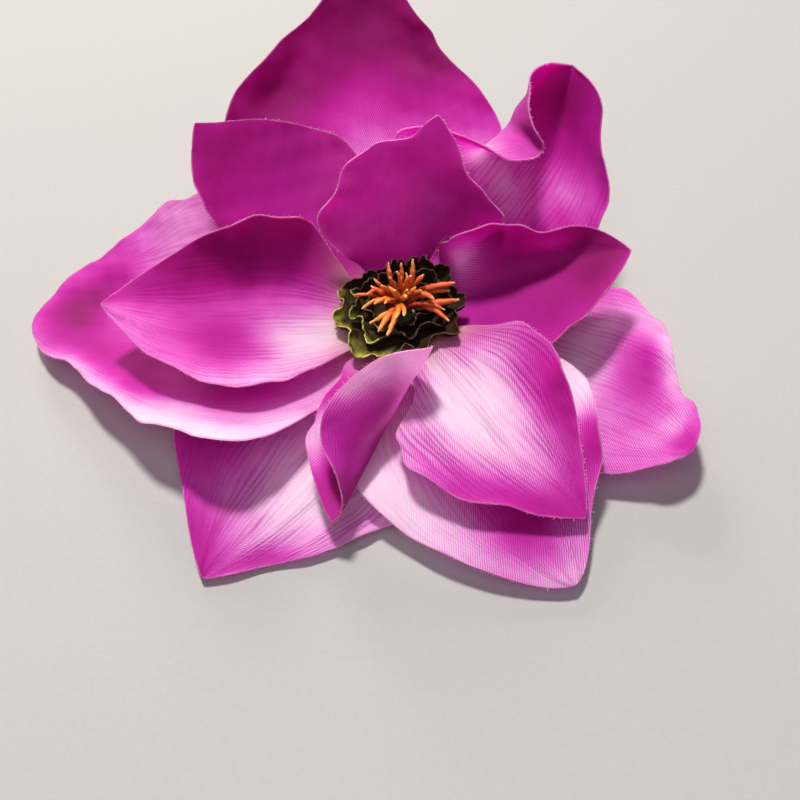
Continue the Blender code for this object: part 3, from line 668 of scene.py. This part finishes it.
def evaluated_mesh(obj, tree, **inputs):
    """Runs a geometry node tree on an object and leaves the plain mesh that it makes."""
    modifier = obj.modifiers.new("made", "NODES")
    modifier.node_group = tree
    for item in tree.interface.items_tree:
        if item.in_out == "INPUT" and item.name in inputs:
            modifier[item.identifier] = inputs[item.name]
    depsgraph = bpy.context.evaluated_depsgraph_get()
    mesh = bpy.data.meshes.new_from_object(obj.evaluated_get(depsgraph))
    obj.modifiers.remove(modifier)
    obj.data = mesh
    return obj


def raw_thread():
    """Undyed ends of polyester thread."""
    material, tree, shader = new_material("raw_thread")
    shade = noise(tree, object_place(tree), 900.0, 1.0)
    feed(tree, shader, {"Base Color": mixed_colour(tree, shade, THREAD_PALE, THREAD_PINK), "Roughness": 0.6})
    return material


fray_threads = fray_tree()
raw_thread_material = raw_thread()


def frayed_edges(name, margins, seed):
    """Loose threads along all the cut margins of a layer."""
    points, aims, edges = [], [], []
    for line, outwards in margins:
        keep = slice(UNFRAYED_ROOT_ROWS, -1)
        start = len(points)
        size = np.linalg.norm(outwards[keep], axis=1)[:, None]
        points += list(line[keep])
        aims += list(outwards[keep] / np.where(size < 1e-9, 1, size))
        edges += [(k, k + 1) for k in range(start, len(points) - 1)]
    obj = add_object(name, points, [], edges)
    aim = obj.data.attributes.new("outwards", "FLOAT_VECTOR", "POINT")
    aim.data.foreach_set("vector", np.array(aims, np.float32).ravel())
    return evaluated_mesh(obj, fray_threads, Seed=seed, Material=raw_thread_material)


def finished_layer(name, petals, height, seed, node_name):
    """A cloth layer and its frayed edges, dressed and hung on the root."""
    petals = [{**PLAIN_PETAL, **petal} for petal in petals.values()]
    layer, margins = cloth_layer(name, petals, height, seed)
    layer.data.materials.append(petal_satin(name + "_satin"))
    fray = frayed_edges(name + "_fray", margins, seed)
    for piece in (layer, fray):
        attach(piece, "root")
    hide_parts(node_name)
    flat, area = flat_blank(petals)


finished_layer("outer_petals", OUTER_PETALS, height=5.5, seed=11, node_name="petal_layer_1")


# Second cloth layer
# Three petals cut and stamped as the first. The left one lies flat with its near margin curled up; the
# top right one is rolled over on itself by hand, so that its ribbed back shows.
SECOND_PETALS = {
    "left_outer": dict(
        width=70, widest=0.4, point=1.5, round=0.7, waves=(1.2, 2.4, 0.05), crumple=0.5, dye=0.38, veins=0.7,
        left=[(0, 1), (0.18, 1.08), (0.32, 1.24), (0.5, 1.08), (0.68, 0.98), (0.82, 0.86), (0.92, 0.98),
              (1, 1)],
        right=[(0, 1), (0.3, 1.05), (0.56, 1.15), (0.7, 1.35), (0.86, 1.4), (0.94, 1.55), (1, 1.3)],
        stations=[(188, 7, 7.1, 0, 0, 0, 0), (186, 30, 7.2, 6, 26, 22, 20), (181, 58, 5.6, 8, 30, 24, 25),
                  (177, 88, 5, 0, 0, 0, 0)],
        # The sprays at u 0.88, 0.87 and 0.78 on the right half are painted shade at the tip, and the one at u
        # 0.35, v 0.3 is painted shade where the centre left petal's shadow falls.
        dye_and_light_sprays=[(0.88, -0.15, 0.12, 0.9, 0.36), (0.68, 0.45, 0.16, 0.35, 0.22),
                (0.38, 0.95, 0.24, 0.32, -0.4), (0.35, 0.3, 0.3, 0.4, 0.3), (0.58, -0.75, 0.2, 0.5, -0.1),
                (0.72, 1, 0.26, 0.3, -0.2), (0.87, -0.2, 0.09, 0.34, 0.24), (0.78, -0.55, 0.08, 0.22, 0.16),
                (0.62, 0.68, 0.07, 0.2, 0.2)]),
    "bottom_right_outer": dict(
        width=58, round=0.4, waves=(0.9, 2.2, 0.4), dye=0.32, veins=0.9,
        left=[(0, 1), (0.7, 0.95), (0.85, 0.78), (1, 0.8)],
        right=[(0, 1), (0.4, 1), (0.6, 0.95), (1, 1)],
        stations=[(296, 7, 7.1, 0, 0, 0, 0), (296, 28, 7, 11, 13, 0, 4), (297, 52, 5.8, 16, 20, 0, 6),
                  (298, 75.5, 3.2, 0, 0, 0, 0)],
        # The spray at u 0.42, v 0.9 is painted light: a white lit sliver along the raised margin.
        dye_and_light_sprays=[(0.76, -0.1, 0.13, 0.45, 0.42), (0.5, -0.85, 0.25, 0.45, -0.36),
                (0.42, 0.9, 0.14, 0.35, -0.5), (0.68, 0.9, 0.12, 0.25, 0.32), (0.98, 0, 0.05, 1, -0.12),
                (0.62, 0.85, 0.12, 0.2, 0.1)]),
    "top_right": dict(
        width=64, widest=0.47, point=2.4, round=1, fold=0.5, dye=0.6, veins=1.5,
        left=[(0, 1), (0.12, 0.6), (0.25, 0.8), (0.4, 1.15), (0.55, 1.05), (0.72, 1.12), (0.82, 1.3),
              (0.92, 1.2), (1, 1.35)],
        right=[(0, 1), (0.3, 1), (0.45, 0.85), (0.62, 0.88), (0.74, 0.92), (0.86, 0.8), (1, 1.1)],
        stations=[(58, 7, 7.1, 0, 0, 0, 0), (58, 12.5, 7.2, 1, 0, 0, 0), (57, 24, 10, 45, 15, 2, 6),
                  (54, 37, 15.5, 62, 30, 4, 8), (51.5, 47.5, 22, 100, 55, 6, 14),
                  (50, 55.5, 31, 115, 55, 10, 20), (49.5, 62.5, 45.5, 62, 36, 14, 10)],
        # The sprays at u 0.32, v 0.9 and at u 0.56, v 0.42 are painted light on the lit front face under the
        # rolled flap; the one at u 0.88, v -0.1 is painted shade in the hollow of the hood.
        dye_and_light_sprays=[(0.32, 0.9, 0.1, 0.4, -0.4), (0.88, -0.1, 0.1, 0.5, 0.34), (0.76, 0.85, 0.14, 0.4, 0.24),
                (0.56, 0.42, 0.08, 0.36, -0.4), (0.52, -0.05, 0.12, 0.35, -0.24),
                (0.64, -0.6, 0.07, 0.4, -0.22)]),
}
finished_layer("second_petals", SECOND_PETALS, height=7.1, seed=23, node_name="petal_layer_2")


# Third cloth layer
# Three smaller petals of the same cloth, dyed deeper. One stands at the top left, one is folded up on the
# right, and the near one is rolled into a flap over the petal beside it.
THIRD_PETALS = {
    "top_left": dict(
        width=46, crumple=0.4, dye=0.78, veins=0.15,
        left=[(0, 0.9), (0.15, 0.55), (0.5, 0.5), (0.72, 1.05), (0.85, 1.08), (1, 1)],
        right=[(0, 1), (0.35, 1.05), (0.65, 1.3), (0.85, 1.3), (1, 1)],
        stations=[(142, 7, 8.7, 0, 0, 0, 0), (142, 12.5, 8.8, 0, 0, 2, 2), (142, 24, 13, 0, 0, 14, 12),
                  (143, 42, 24, 14, 24, 6, 12), (145, 58, 40, 0, 0, 0, 0)],
        dye_and_light_sprays=[(0.9, 0, 0.15, 1, 0.1), (0.45, 0.1, 0.2, 0.5, -0.1)]),
    "centre_right": dict(
        width=44, cream=0, dye=0.72, veins=0.5,
        left=[(0, 0.8), (0.1, 1.08), (0.16, 1.2), (0.24, 1.1), (0.42, 1.05), (0.66, 0.78), (0.85, 0.85),
              (1, 0.9)],
        stations=[(12, 7, 8.7, 0, 0, 0, 0), (12, 12.5, 8.8, 5, 3, 0, 0), (12, 17, 10, 55, 24, 0, 0),
                  (12, 22, 12, 70, 38, 8, 6), (10, 38, 18, 65, 50, 6, 8), (7.5, 53, 25, 20, 20, 0, 0)],
        # The sprays at u 0.24, v 0.6 and at u 0.7, v 0.6 are painted light near the root and along the upper
        # margin where it catches the light; the one at u 0.86, v 0.1 is painted shade in a dent near the tip.
        dye_and_light_sprays=[(0.24, 0.6, 0.13, 0.4, -0.46), (0.6, -0.2, 0.3, 0.6, 0.12), (0.86, 0.1, 0.14, 0.8, 0.36),
                (0.7, 0.6, 0.14, 0.3, -0.16)]),
    "bottom_centre": dict(
        width=48, fold=0.35, dye=0.8, veins=0.35,
        left=[(0, 0.8), (0.13, 0.24), (0.2, 0.6), (0.32, 1), (1, 1)],
        right=[(0, 0.66), (0.12, 0.6), (0.3, 0.42), (0.55, 0.47), (0.7, 0.6), (1, 0.62)],
        stations=[(259, 7, 8.7, 0, 0, 0, 0), (257, 13, 8.7, 12, 4, 0, 4), (256.5, 17, 9, 50, 4, 2, 6),
                  (257, 23, 9.8, 56, 20, 4, 10), (257, 32, 10.3, 66, 92, 6, 10),
                  (257, 45, 10.5, 112, 58, 10, 10), (256, 57, 9, 60, 10, 0, 0)],
        # The spray at u 0.26, v 0.8 is painted light on the lit top of the flap, the one at u 0.5, v 0.4 is a
        # painted highlight along the fold, and the one at u 0.64, v -0.9 is painted light on the strip under
        # the flap.
        dye_and_light_sprays=[(0.2, 0.3, 0.12, 0.8, -0.3), (0.7, 0.1, 0.2, 1, 0.14), (0.15, -0.8, 0.16, 0.5, -0.42),
                (0.26, 0.8, 0.14, 0.6, -0.4), (0.42, 0.9, 0.11, 0.4, -0.45), (0.56, 0.95, 0.07, 0.18, -0.3),
                (0.64, -0.9, 0.2, 0.38, -0.7), (0.5, 0.4, 0.24, 0.13, -0.3)]),
}
finished_layer("third_petals", THIRD_PETALS, height=8.7, seed=37, node_name="petal_layer_3")


# Inner cloth layer
# The last blank on the post: one petal stands up behind the centre and two spread to the left and to the
# lower right, white along the middle where the airbrush didn't reach.
INNER_PETALS = {
    "inner_top": dict(
        width=50, widest=0.42, point=1.4, cream=0, dye=0.53, veins=0.3,
        left=[(0, 0.8), (0.3, 0.85), (0.46, 0.93), (0.56, 0.86), (0.66, 0.92), (0.76, 0.85), (0.86, 0.42),
              (1, 0.5)],
        right=[(0, 0.5), (0.12, 0.3), (0.3, 0.3), (0.5, 0.9), (0.6, 1), (0.7, 0.9), (0.8, 0.8), (0.9, 0.85),
               (1, 0.8)],
        stations=[(84, 7, 10.3, 0, 0, 0, 0), (83, 13, 15.5, 20, 24, -15, 0), (79, 19.5, 33, 14, 24, 0, 14),
                  (71, 26, 49, 0, 0, 0, 0)],
        # The spray at u 0.1 is painted shade at the root beside the collar, and the one at u 0.5, v -0.7 is
        # painted shade on the right half.
        dye_and_light_sprays=[(0.5, -0.7, 0.5, 0.5, 0.1), (0.1, 0, 0.12, 2, 0.4), (0.76, 0, 0.12, 0.6, 0.12)]),
    "centre_left": dict(
        width=46, widest=0.42, dye=0.42, veins=1.3,
        left=[(0, 1), (0.3, 1), (0.55, 1.1), (0.8, 1.08), (1, 1)],
        right=[(0, 1), (0.12, 1.1), (0.24, 1.22), (0.38, 1.1), (0.6, 1.02), (0.8, 1), (1, 1)],
        stations=[(182, 7, 10.3, 0, 0, 0, 0), (184, 26, 13, 8, 10, 50, 30), (186, 48, 16, 4, 10, 40, 30),
                  (185, 67, 21, 0, 0, 0, 0)],
        # The spray at u 0.5, v -0.8 darkens the far half, partly as dye and partly as painted shade from its
        # standing margin.
        dye_and_light_sprays=[(0.5, -0.8, 0.6, 0.62, 0.5), (0.56, 0.35, 0.15, 0.3, 0.34), (0.2, 0.4, 0.26, 0.5, -0.42),
                (0.45, 0.95, 0.3, 0.2, -0.16), (0.9, 0.3, 0.08, 0.5, -0.06)]),
    "bottom_right_inner": dict(
        width=52, widest=0.42, dye=0.24, veins=1.7,
        left=[(0, 1), (0.2, 0.98), (0.36, 0.86), (0.5, 0.84), (1, 0.82)],
        right=[(0, 0.8), (0.06, 0.44), (0.14, 0.34), (0.25, 0.38), (0.42, 0.76), (0.55, 0.9), (0.68, 0.88),
               (0.82, 0.72), (1, 0.72)],
        stations=[(298, 7, 10.3, 0, 0, 0, 0), (298, 13, 11.3, 6, 6, 0, 0), (299, 26, 12, 20, 20, 4, 6),
                  (301.5, 47.6, 10.7, 20, 20, 8, 10), (305, 66.2, 8.8, 0, 0, 0, 0)],
        dye_and_light_sprays=[(0.58, 0.85, 0.27, 0.36, 0.52), (0.98, 0, 0.17, 1.5, 0.5), (0.74, -0.75, 0.2, 0.45, 0.34),
                (0.4, -0.05, 0.24, 0.5, -0.34), (0.06, 0.7, 0.14, 0.7, 0.24)]),
}
finished_layer("inner_petals", INNER_PETALS, height=10.3, seed=53, node_name="petal_layer_4")


# Collar
# One strip of dark brown cloth with scalloped edges, folded and gathered round the post into three
# ruffles. The die leaves its edges raw, and they show yellow green at the near left, where dye is thin.
COLLAR_HEIGHT = 12.0
RUFFLE_THICKNESS = 0.3
RUFFLE_SEGMENTS = 660
RUFFLE_ROWS = 16
RUFFLES = [
    dict(foot=5.4, reach=14.2, rise=4.4, swing=1, folds=11, depth=1.25, seed=3, scallops=23),
    dict(foot=5.0, reach=10.6, rise=5.0, swing=0.45, folds=9, depth=1.15, seed=8, scallops=19),
    dict(foot=3.6, reach=7.3, rise=4.1, swing=0.2, folds=7, depth=0.7, seed=5, scallops=13),
]
# How far the ruffles reach and how steeply they stand at each azimuth, where the petals leave them room.
RUFFLE_ROOM = [(0, 1), (25, 0.96), (45, 0.92), (62, 0.8), (78, 0.71), (105, 0.69), (128, 0.73), (150, 0.92),
               (175, 1), (215, 1.1), (245, 1.2), (265, 0.92), (300, 0.95), (330, 1.03), (361, 1)]
RUFFLE_LIFT = [(0, 0.9), (30, 1.3), (50, 1.9), (64, 2.0), (85, 1.6), (130, 1.15), (175, 0.9), (215, 0.75),
               (245, 0.15), (268, 0.45), (320, 0.85), (361, 0.9)]
COLLAR_BROWNS = ((0.009, 0.004, 0.002, 1), (0.034, 0.017, 0.008, 1))
COLLAR_GREENS = ((0.09, 0.085, 0.012, 1), (0.36, 0.36, 0.06, 1))
RIM_DUSTY = (0.08, 0.045, 0.032, 1)
RIM_GREEN = (0.46, 0.42, 0.11, 1)


def ruffle_surface(ruffle):
    """Closed cup that spreads from its foot, then stands up and waves towards its scalloped edge."""
    draw = random.Random(ruffle["seed"])
    turns = np.arange(RUFFLE_SEGMENTS) * 2 * np.pi / RUFFLE_SEGMENTS
    phase = [draw.uniform(0, 2 * np.pi) for _ in range(6)]
    wave = ruffle["depth"] * np.sin(ruffle["folds"] * turns + phase[0] + 0.7 * np.sin(2 * turns + phase[1]))
    sway = 0.4 * np.sin(3 * turns + phase[2])
    reach = ruffle["reach"] * eased(np.degrees(turns), RUFFLE_ROOM)
    lift = 1 + ruffle["swing"] * (eased(np.degrees(turns), RUFFLE_LIFT) - 1)
    crimp = (0.16 * np.sin(47 * turns + 3 * np.sin(5 * turns)) * np.sin(7 * turns + phase[5])
             + 0.07 * np.sin(71 * turns + phase[3]))
    fold = 0.3 * np.sin(2 * ruffle["folds"] * turns + phase[4] + np.sin(3 * turns + phase[5]))
    lobe = np.abs(np.sin(ruffle["scallops"] / 2 * turns + np.sin(4 * turns))) ** 0.6
    grid = np.zeros((RUFFLE_ROWS + 1, RUFFLE_SEGMENTS, 3))
    for i in range(RUFFLE_ROWS + 1):
        s = i / RUFFLE_ROWS
        s = s * (1 - 0.2 * (1 - lobe) * s)
        radius = (ruffle["foot"] + (reach - ruffle["foot"]) * np.sin(s * np.pi / 2) ** 0.9
                  + wave * s**1.5 + (crimp + fold) * s)
        grid[i, :, 0] = radius * np.cos(turns)
        grid[i, :, 1] = radius * np.sin(turns)
        grid[i, :, 2] = (COLLAR_HEIGHT + ruffle["rise"] * lift * (1 - np.cos(s * np.pi / 2))
                         + s * (sway - 0.5 * wave + crimp - 0.5 * fold))
    return grid


def closed_band(grid, thickness):
    """Both faces and both rims of a band that closes on itself."""
    across = (np.roll(grid, -1, axis=1) - np.roll(grid, 1, axis=1)) / 2
    normals = np.cross(np.gradient(grid, axis=0), across)
    normals /= np.linalg.norm(normals, axis=2, keepdims=True)
    rows, columns = grid.shape[:2]
    verts = np.concatenate([(grid + sign * normals * thickness / 2).reshape(-1, 3) for sign in (1, -1)])
    under = rows * columns
    faces = []
    for j in range(columns):
        n = (j + 1) % columns
        for i in range(rows - 1):
            a, b, c, d = i * columns + j, i * columns + n, (i + 1) * columns + n, (i + 1) * columns + j
            faces.append((a, d, c, b))
            faces.append((b + under, c + under, d + under, a + under))
        faces.append((j, n, n + under, j + under))
        a, b = (rows - 1) * columns + n, (rows - 1) * columns + j
        faces.append((a, b, b + under, a + under))
    return verts, faces


def collar_cloth():
    """Dark brown cloth, nearly black in its folds; its edges are yellow green on the near left, where the
    dye ran thin, and dusty elsewhere."""
    material, tree, shader = new_material("collar_cloth")
    place = object_place(tree)
    edge = carried_by(tree, "edge")
    blotch = noise(tree, place, 300.0, 3.0)
    axes = node(tree, "ShaderNodeSeparateXYZ", {0: place}).outputs
    across = times(tree, axes["X"], -70.0, times(tree, axes["Y"], -55.0))
    near_left = mapped(tree, across, 0.45, 1.15)
    thinned = times(tree, mapped(tree, edge, 0.4, 0.9), mapped(tree, blotch, 0.38, 0.6))
    brown = mixed_colour(tree, blotch, *COLLAR_BROWNS)
    green = mixed_colour(tree, blotch, *COLLAR_GREENS)
    colour = mixed_colour(tree, times(tree, near_left, thinned), brown, green)
    rim = times(tree, mapped(tree, edge, 0.955, 1.0), blotch)
    colour = mixed_colour(tree, rim, colour, mixed_colour(tree, near_left, RIM_DUSTY, RIM_GREEN))
    feed(tree, shader, {"Base Color": colour, "Roughness": 0.65, "Specular IOR Level": 0.05,
                        "Normal": bumped(tree, noise(tree, place, 2400.0), 0.5, 0.00008)})
    return material


collar = joined("ruffled_collar", [closed_band(ruffle_surface(r), RUFFLE_THICKNESS) for r in RUFFLES])
towards_edge = np.repeat(np.linspace(0, 1, RUFFLE_ROWS + 1), RUFFLE_SEGMENTS)
carry(collar, {"edge": np.tile(towards_edge, 2 * len(RUFFLES))})
collar.data.set_sharp_from_angle(angle=math.radians(CLOTH_CREASE_ANGLE))
collar.data.materials.append(collar_cloth())
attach(collar, "root")
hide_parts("collar")


# Stamens
# A bunch of blunt fingers moulded in orange plastic on a small dome, which is pressed onto the end of the
# post. Those on the right lie over the collar, the middle ones stand, and the near ones curl in.
STAMEN_ROOT_HEIGHT = 16.1
STAMEN_STEPS = 9
STAMEN_SIDES = 10
STAMEN_SMOOTHNESS = 26
STAMEN_BEND = 1.3
NEAR_AZIMUTHS = (200, 290)
MIDDLE_REACH = 5
DOME_HEIGHT = 15.2
DOME_RADIUS = 3.7
DOME_SIDES = 48
DOME_PROFILE = [(radius, DOME_HEIGHT + rise) for radius, rise in (
    (0, -0.3), (3.1, -0.3), (3.6, 0.0), (DOME_RADIUS, 0.4), (3.4, 1.0), (2.9, 1.5), (2.0, 1.95), (1.0, 2.2),
    (0, 2.3))]
STAMEN_REDS = [(0.15, (0.07, 0.005, 0.002, 1)), (0.45, (0.34, 0.032, 0.006, 1)),
               (0.8, (0.54, 0.085, 0.018, 1))]
STAMEN_GOLDS = [(0.15, (0.12, 0.010, 0.002, 1)), (0.5, (0.48, 0.085, 0.008, 1)),
                (0.85, (0.68, 0.24, 0.03, 1))]
STAMEN_END = (0.82, 0.52, 0.30, 1)
# Each stamen's tip: azimuth, reach from the axis and height; then its thickness and how far it bows up.
STAMENS = [
    (7, 12.6, 20, 0.95, 1.2), (3, 11.4, 18.4, 0.7, 1), (350, 13.6, 18.5, 0.9, 1), (331, 8.7, 20.5, 0.85, 1.6),
    (325, 13.4, 17.2, 0.75, 1), (334, 11.2, 18, 0.6, 1.4), (51, 4.6, 25.5, 0.75, 0), (108, 2.2, 23, 0.6, 0),
    (130, 3.8, 24, 0.65, 0.2), (8, 2.4, 23.5, 0.7, 0), (343, 3.8, 21.5, 0.6, 0.2),
    (184, 10.7, 18.4, 0.5, 1.2), (179, 6.6, 20.5, 0.7, 1), (166, 6.2, 21.5, 0.55, 0.6),
    (211, 10.1, 18.5, 0.6, 1.6), (221, 7.7, 20, 0.75, 1.6), (232, 10.9, 17.5, 0.7, 1.8),
    (246, 12, 17.2, 0.8, 1.8), (257, 12.6, 17.6, 0.8, 1.6), (264, 9.4, 20, 0.7, 1.2),
    (250, 3.9, 23, 0.7, 0.3), (284, 5.3, 22.5, 0.75, 0.6), (240, 6.8, 21, 0.65, 0.8),
    (276, 8.6, 19.8, 0.65, 1), (60, 2.6, 22.5, 0.6, 0), (150, 2.8, 22.2, 0.6, 0), (200, 4.6, 22.4, 0.65, 0.3),
    (224, 3.4, 22.8, 0.65, 0.2), (300, 3.4, 22.4, 0.65, 0.2), (332, 5.4, 21.8, 0.65, 0.4),
    (18, 5.6, 22.6, 0.7, 0.3), (86, 3.6, 24.3, 0.6, 0), (118, 5.6, 23.4, 0.55, 0.2),
    (200, 8.0, 20.6, 0.6, 0.8),
]


def stamen_lines():
    """One open line for each stamen, from the dome to its tip, with its thickness, how near each point is
    to the tip and how golden the stamen is."""
    points, sizes, tips, golds, edges = [], [], [], [], []
    draw = random.Random(4)
    for azimuth, reach, height, thickness, bow in STAMENS:
        turn = math.radians(azimuth)
        out = np.array([math.cos(turn), math.sin(turn)])
        across = np.array([-out[1], out[0]])
        root = 0.75 * DOME_RADIUS * min(reach / 12, 1)
        turned = 0.8 * math.sin(5 * turn)
        start = root * (math.cos(turned) * out + math.sin(turned) * across)
        bend = draw.uniform(-STAMEN_BEND, STAMEN_BEND)
        drawn_gold = draw.uniform(0, 0.3)
        near = NEAR_AZIMUTHS[0] < azimuth < NEAR_AZIMUTHS[1]
        gold = 1.0 if near else 0.55 if reach < MIDDLE_REACH else drawn_gold
        for i in range(STAMEN_STEPS + 1):
            s = i / STAMEN_STEPS
            arch = math.sin(math.pi * s)
            flat = start + (out * reach - start) * s + across * bend * arch
            level = STAMEN_ROOT_HEIGHT + (height - STAMEN_ROOT_HEIGHT) * s
            points.append((flat[0], flat[1], level + bow * arch))
            swell = 0.8 + 0.35 * math.sin(math.pi * min(s * 1.15, 1))
            blunt = {STAMEN_STEPS - 1: 0.85, STAMEN_STEPS: 0.4}.get(i, 1)
            sizes.append(0.8 * thickness * swell * blunt)
            tips.append(s)
            golds.append(gold)
            if i:
                edges.append((len(points) - 2, len(points) - 1))
    obj = add_object("stamens_bunch", points, [], edges)
    carry(obj, {"thickness": np.array(sizes) * MM, "towards_tip": tips, "gold": golds})
    return obj


def stamen_tree():
    """Thickens each line into a blunt finger with a slightly lumpy skin."""
    tree = bpy.data.node_groups.new("moulded_fingers", "GeometryNodeTree")
    given, leave = group_sockets(
        tree, {"Geometry": ("Geometry", None), "Sides": ("Int", 10), "Smoothness": ("Int", 26),
               "Lumps": ("Float", 0.00065), "Material": ("Material", None)},
        {"Geometry": "Geometry"})
    lines = node(tree, "GeometryNodeMeshToCurve", {0: given["Geometry"]})
    rounded = node(tree, "GeometryNodeCurveSplineType", {0: lines}, spline_type="CATMULL_ROM")
    finer = node(tree, "GeometryNodeResampleCurve", {"Curve": rounded, "Count": given["Smoothness"]})
    thickness = node(tree, "GeometryNodeInputNamedAttribute", {"Name": "thickness"}, data_type="FLOAT")
    profile = node(tree, "GeometryNodeCurvePrimitiveCircle", {"Radius": 1.0, "Resolution": given["Sides"]})
    skin = node(tree, "GeometryNodeCurveToMesh", {"Curve": finer, "Profile Curve": profile,
                                                  "Scale": thickness, "Fill Caps": True})
    place = node(tree, "GeometryNodeInputPosition")
    lump = mathed(tree, "SUBTRACT", noise(tree, place, 900.0, 1.0), 0.5)
    push = times(tree, lump, given["Lumps"])
    normal = node(tree, "GeometryNodeInputNormal")
    offset = node(tree, "ShaderNodeVectorMath", {0: normal, "Scale": push}, operation="SCALE")
    lumpy = node(tree, "GeometryNodeSetPosition", {"Geometry": skin, "Offset": offset})
    return end_tree(tree, lumpy, given, leave)


def stamen_plastic():
    """Orange plastic that lets a little light in: deep red at the root, golden on the near ones, with pale
    rough ends where they were pulled from the mould."""
    material, tree, shader = new_material("stamen_plastic")
    place = object_place(tree)
    tip, gold = carried_by(tree, "towards_tip"), carried_by(tree, "gold")
    patch = noise(tree, place, 420.0)
    level = times(tree, tip, 0.75, times(tree, patch, 0.35))
    colour = mixed_colour(tree, gold, ramped(tree, level, STAMEN_REDS), ramped(tree, level, STAMEN_GOLDS))
    end = times(tree, mapped(tree, tip, 0.86, 1.0), patch)
    feed(tree, shader, {"Base Color": mixed_colour(tree, end, colour, STAMEN_END), "Roughness": 0.55,
                        "Specular IOR Level": 0.35, "Subsurface Weight": 0.2,
                        "Subsurface Radius": (1.0, 0.3, 0.08), "Subsurface Scale": 0.0005,
                        "Normal": bumped(tree, noise(tree, place, 2600.0), 0.5, 0.00008)})
    return material


orange = stamen_plastic()
stamens = evaluated_mesh(stamen_lines(), stamen_tree(), Sides=STAMEN_SIDES, Smoothness=STAMEN_SMOOTHNESS,
                         Material=orange)
stamens.data.shade_smooth()
dome = add_object("stamen_dome", *turned_body(DOME_PROFILE, DOME_SIDES))
dome.data.materials.append(orange)
for piece in (stamens, dome):
    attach(piece, "root")
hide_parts("stamens")


# Table, lights and camera
# A plain pale table top under the flower, one small lamp high behind it, a low warm one behind that, a wide
# weak one in front, and a camera at the photograph's angle.
CAMERA_LENS = 49.5
CAMERA_SENSOR = 36
CAMERA_PLACE = (0, -0.17369, 0.20094)
CAMERA_ELEVATION = 52
NEAREST_SEEN = 0.01
FLOWER_CENTRE = (0, 0, 0.015)
TABLE_SIZE = 4.0
TABLE_GREYS = ((0.27, 0.267, 0.26, 1), (0.30, 0.297, 0.29, 1))
ROOM_LIGHT = (0.93, 0.95, 1.0, 1)
ROOM_STRENGTH = 0.16


def table_top():
    half = TABLE_SIZE / 2 / MM
    obj = add_object("table_top", [(-half, -half, 0), (half, -half, 0), (half, half, 0), (-half, half, 0)],
                     [(0, 1, 2, 3)])
    material, tree, shader = new_material("pale_table")
    grain = noise(tree, object_place(tree), 900.0, 3.0)
    feed(tree, shader, {"Base Color": mixed_colour(tree, grain, *TABLE_GREYS), "Roughness": 0.9,
                        "Specular IOR Level": 0.1})
    obj.data.materials.append(material)


def lamp(name, azimuth, elevation, distance, size, power, colour):
    """An area light aimed at the flower's centre."""
    light = bpy.data.lights.new(name, "AREA")
    light.shape = "DISK"
    light.size = size
    light.energy = power
    light.color = colour
    obj = bpy.data.objects.new(name, light)
    bpy.context.scene.collection.objects.link(obj)
    a, e = math.radians(azimuth), math.radians(elevation)
    place = Vector((math.cos(a) * math.cos(e), math.sin(a) * math.cos(e), math.sin(e))) * distance
    obj.location = place
    obj.rotation_euler = (Vector(FLOWER_CENTRE) - place).to_track_quat("-Z", "Y").to_euler()


table_top()
lamp("key_lamp", azimuth=114, elevation=70, distance=1.1, size=0.16, power=21.5, colour=(1.0, 0.97, 0.93))
lamp("back_lamp", azimuth=108, elevation=26, distance=1.1, size=0.5, power=11, colour=(1.0, 0.86, 0.78))
lamp("fill_lamp", azimuth=262, elevation=62, distance=1.2, size=0.9, power=5.0, colour=(0.96, 0.97, 1.0))
world = bpy.data.worlds.new("soft_room")
world.use_nodes = True
feed(world.node_tree, world.node_tree.nodes["Background"], {"Color": ROOM_LIGHT, "Strength": ROOM_STRENGTH})
bpy.context.scene.world = world
camera_data = bpy.data.cameras.new("camera")
camera_data.lens = CAMERA_LENS
camera_data.sensor_width = CAMERA_SENSOR
camera_data.clip_start = NEAREST_SEEN
camera = bpy.data.objects.new("camera", camera_data)
bpy.context.scene.collection.objects.link(camera)
camera.location = CAMERA_PLACE
camera.rotation_euler = (math.radians(90 - CAMERA_ELEVATION), 0, 0)
bpy.context.scene.camera = camera
bpy.context.scene.view_settings.view_transform = "Standard"
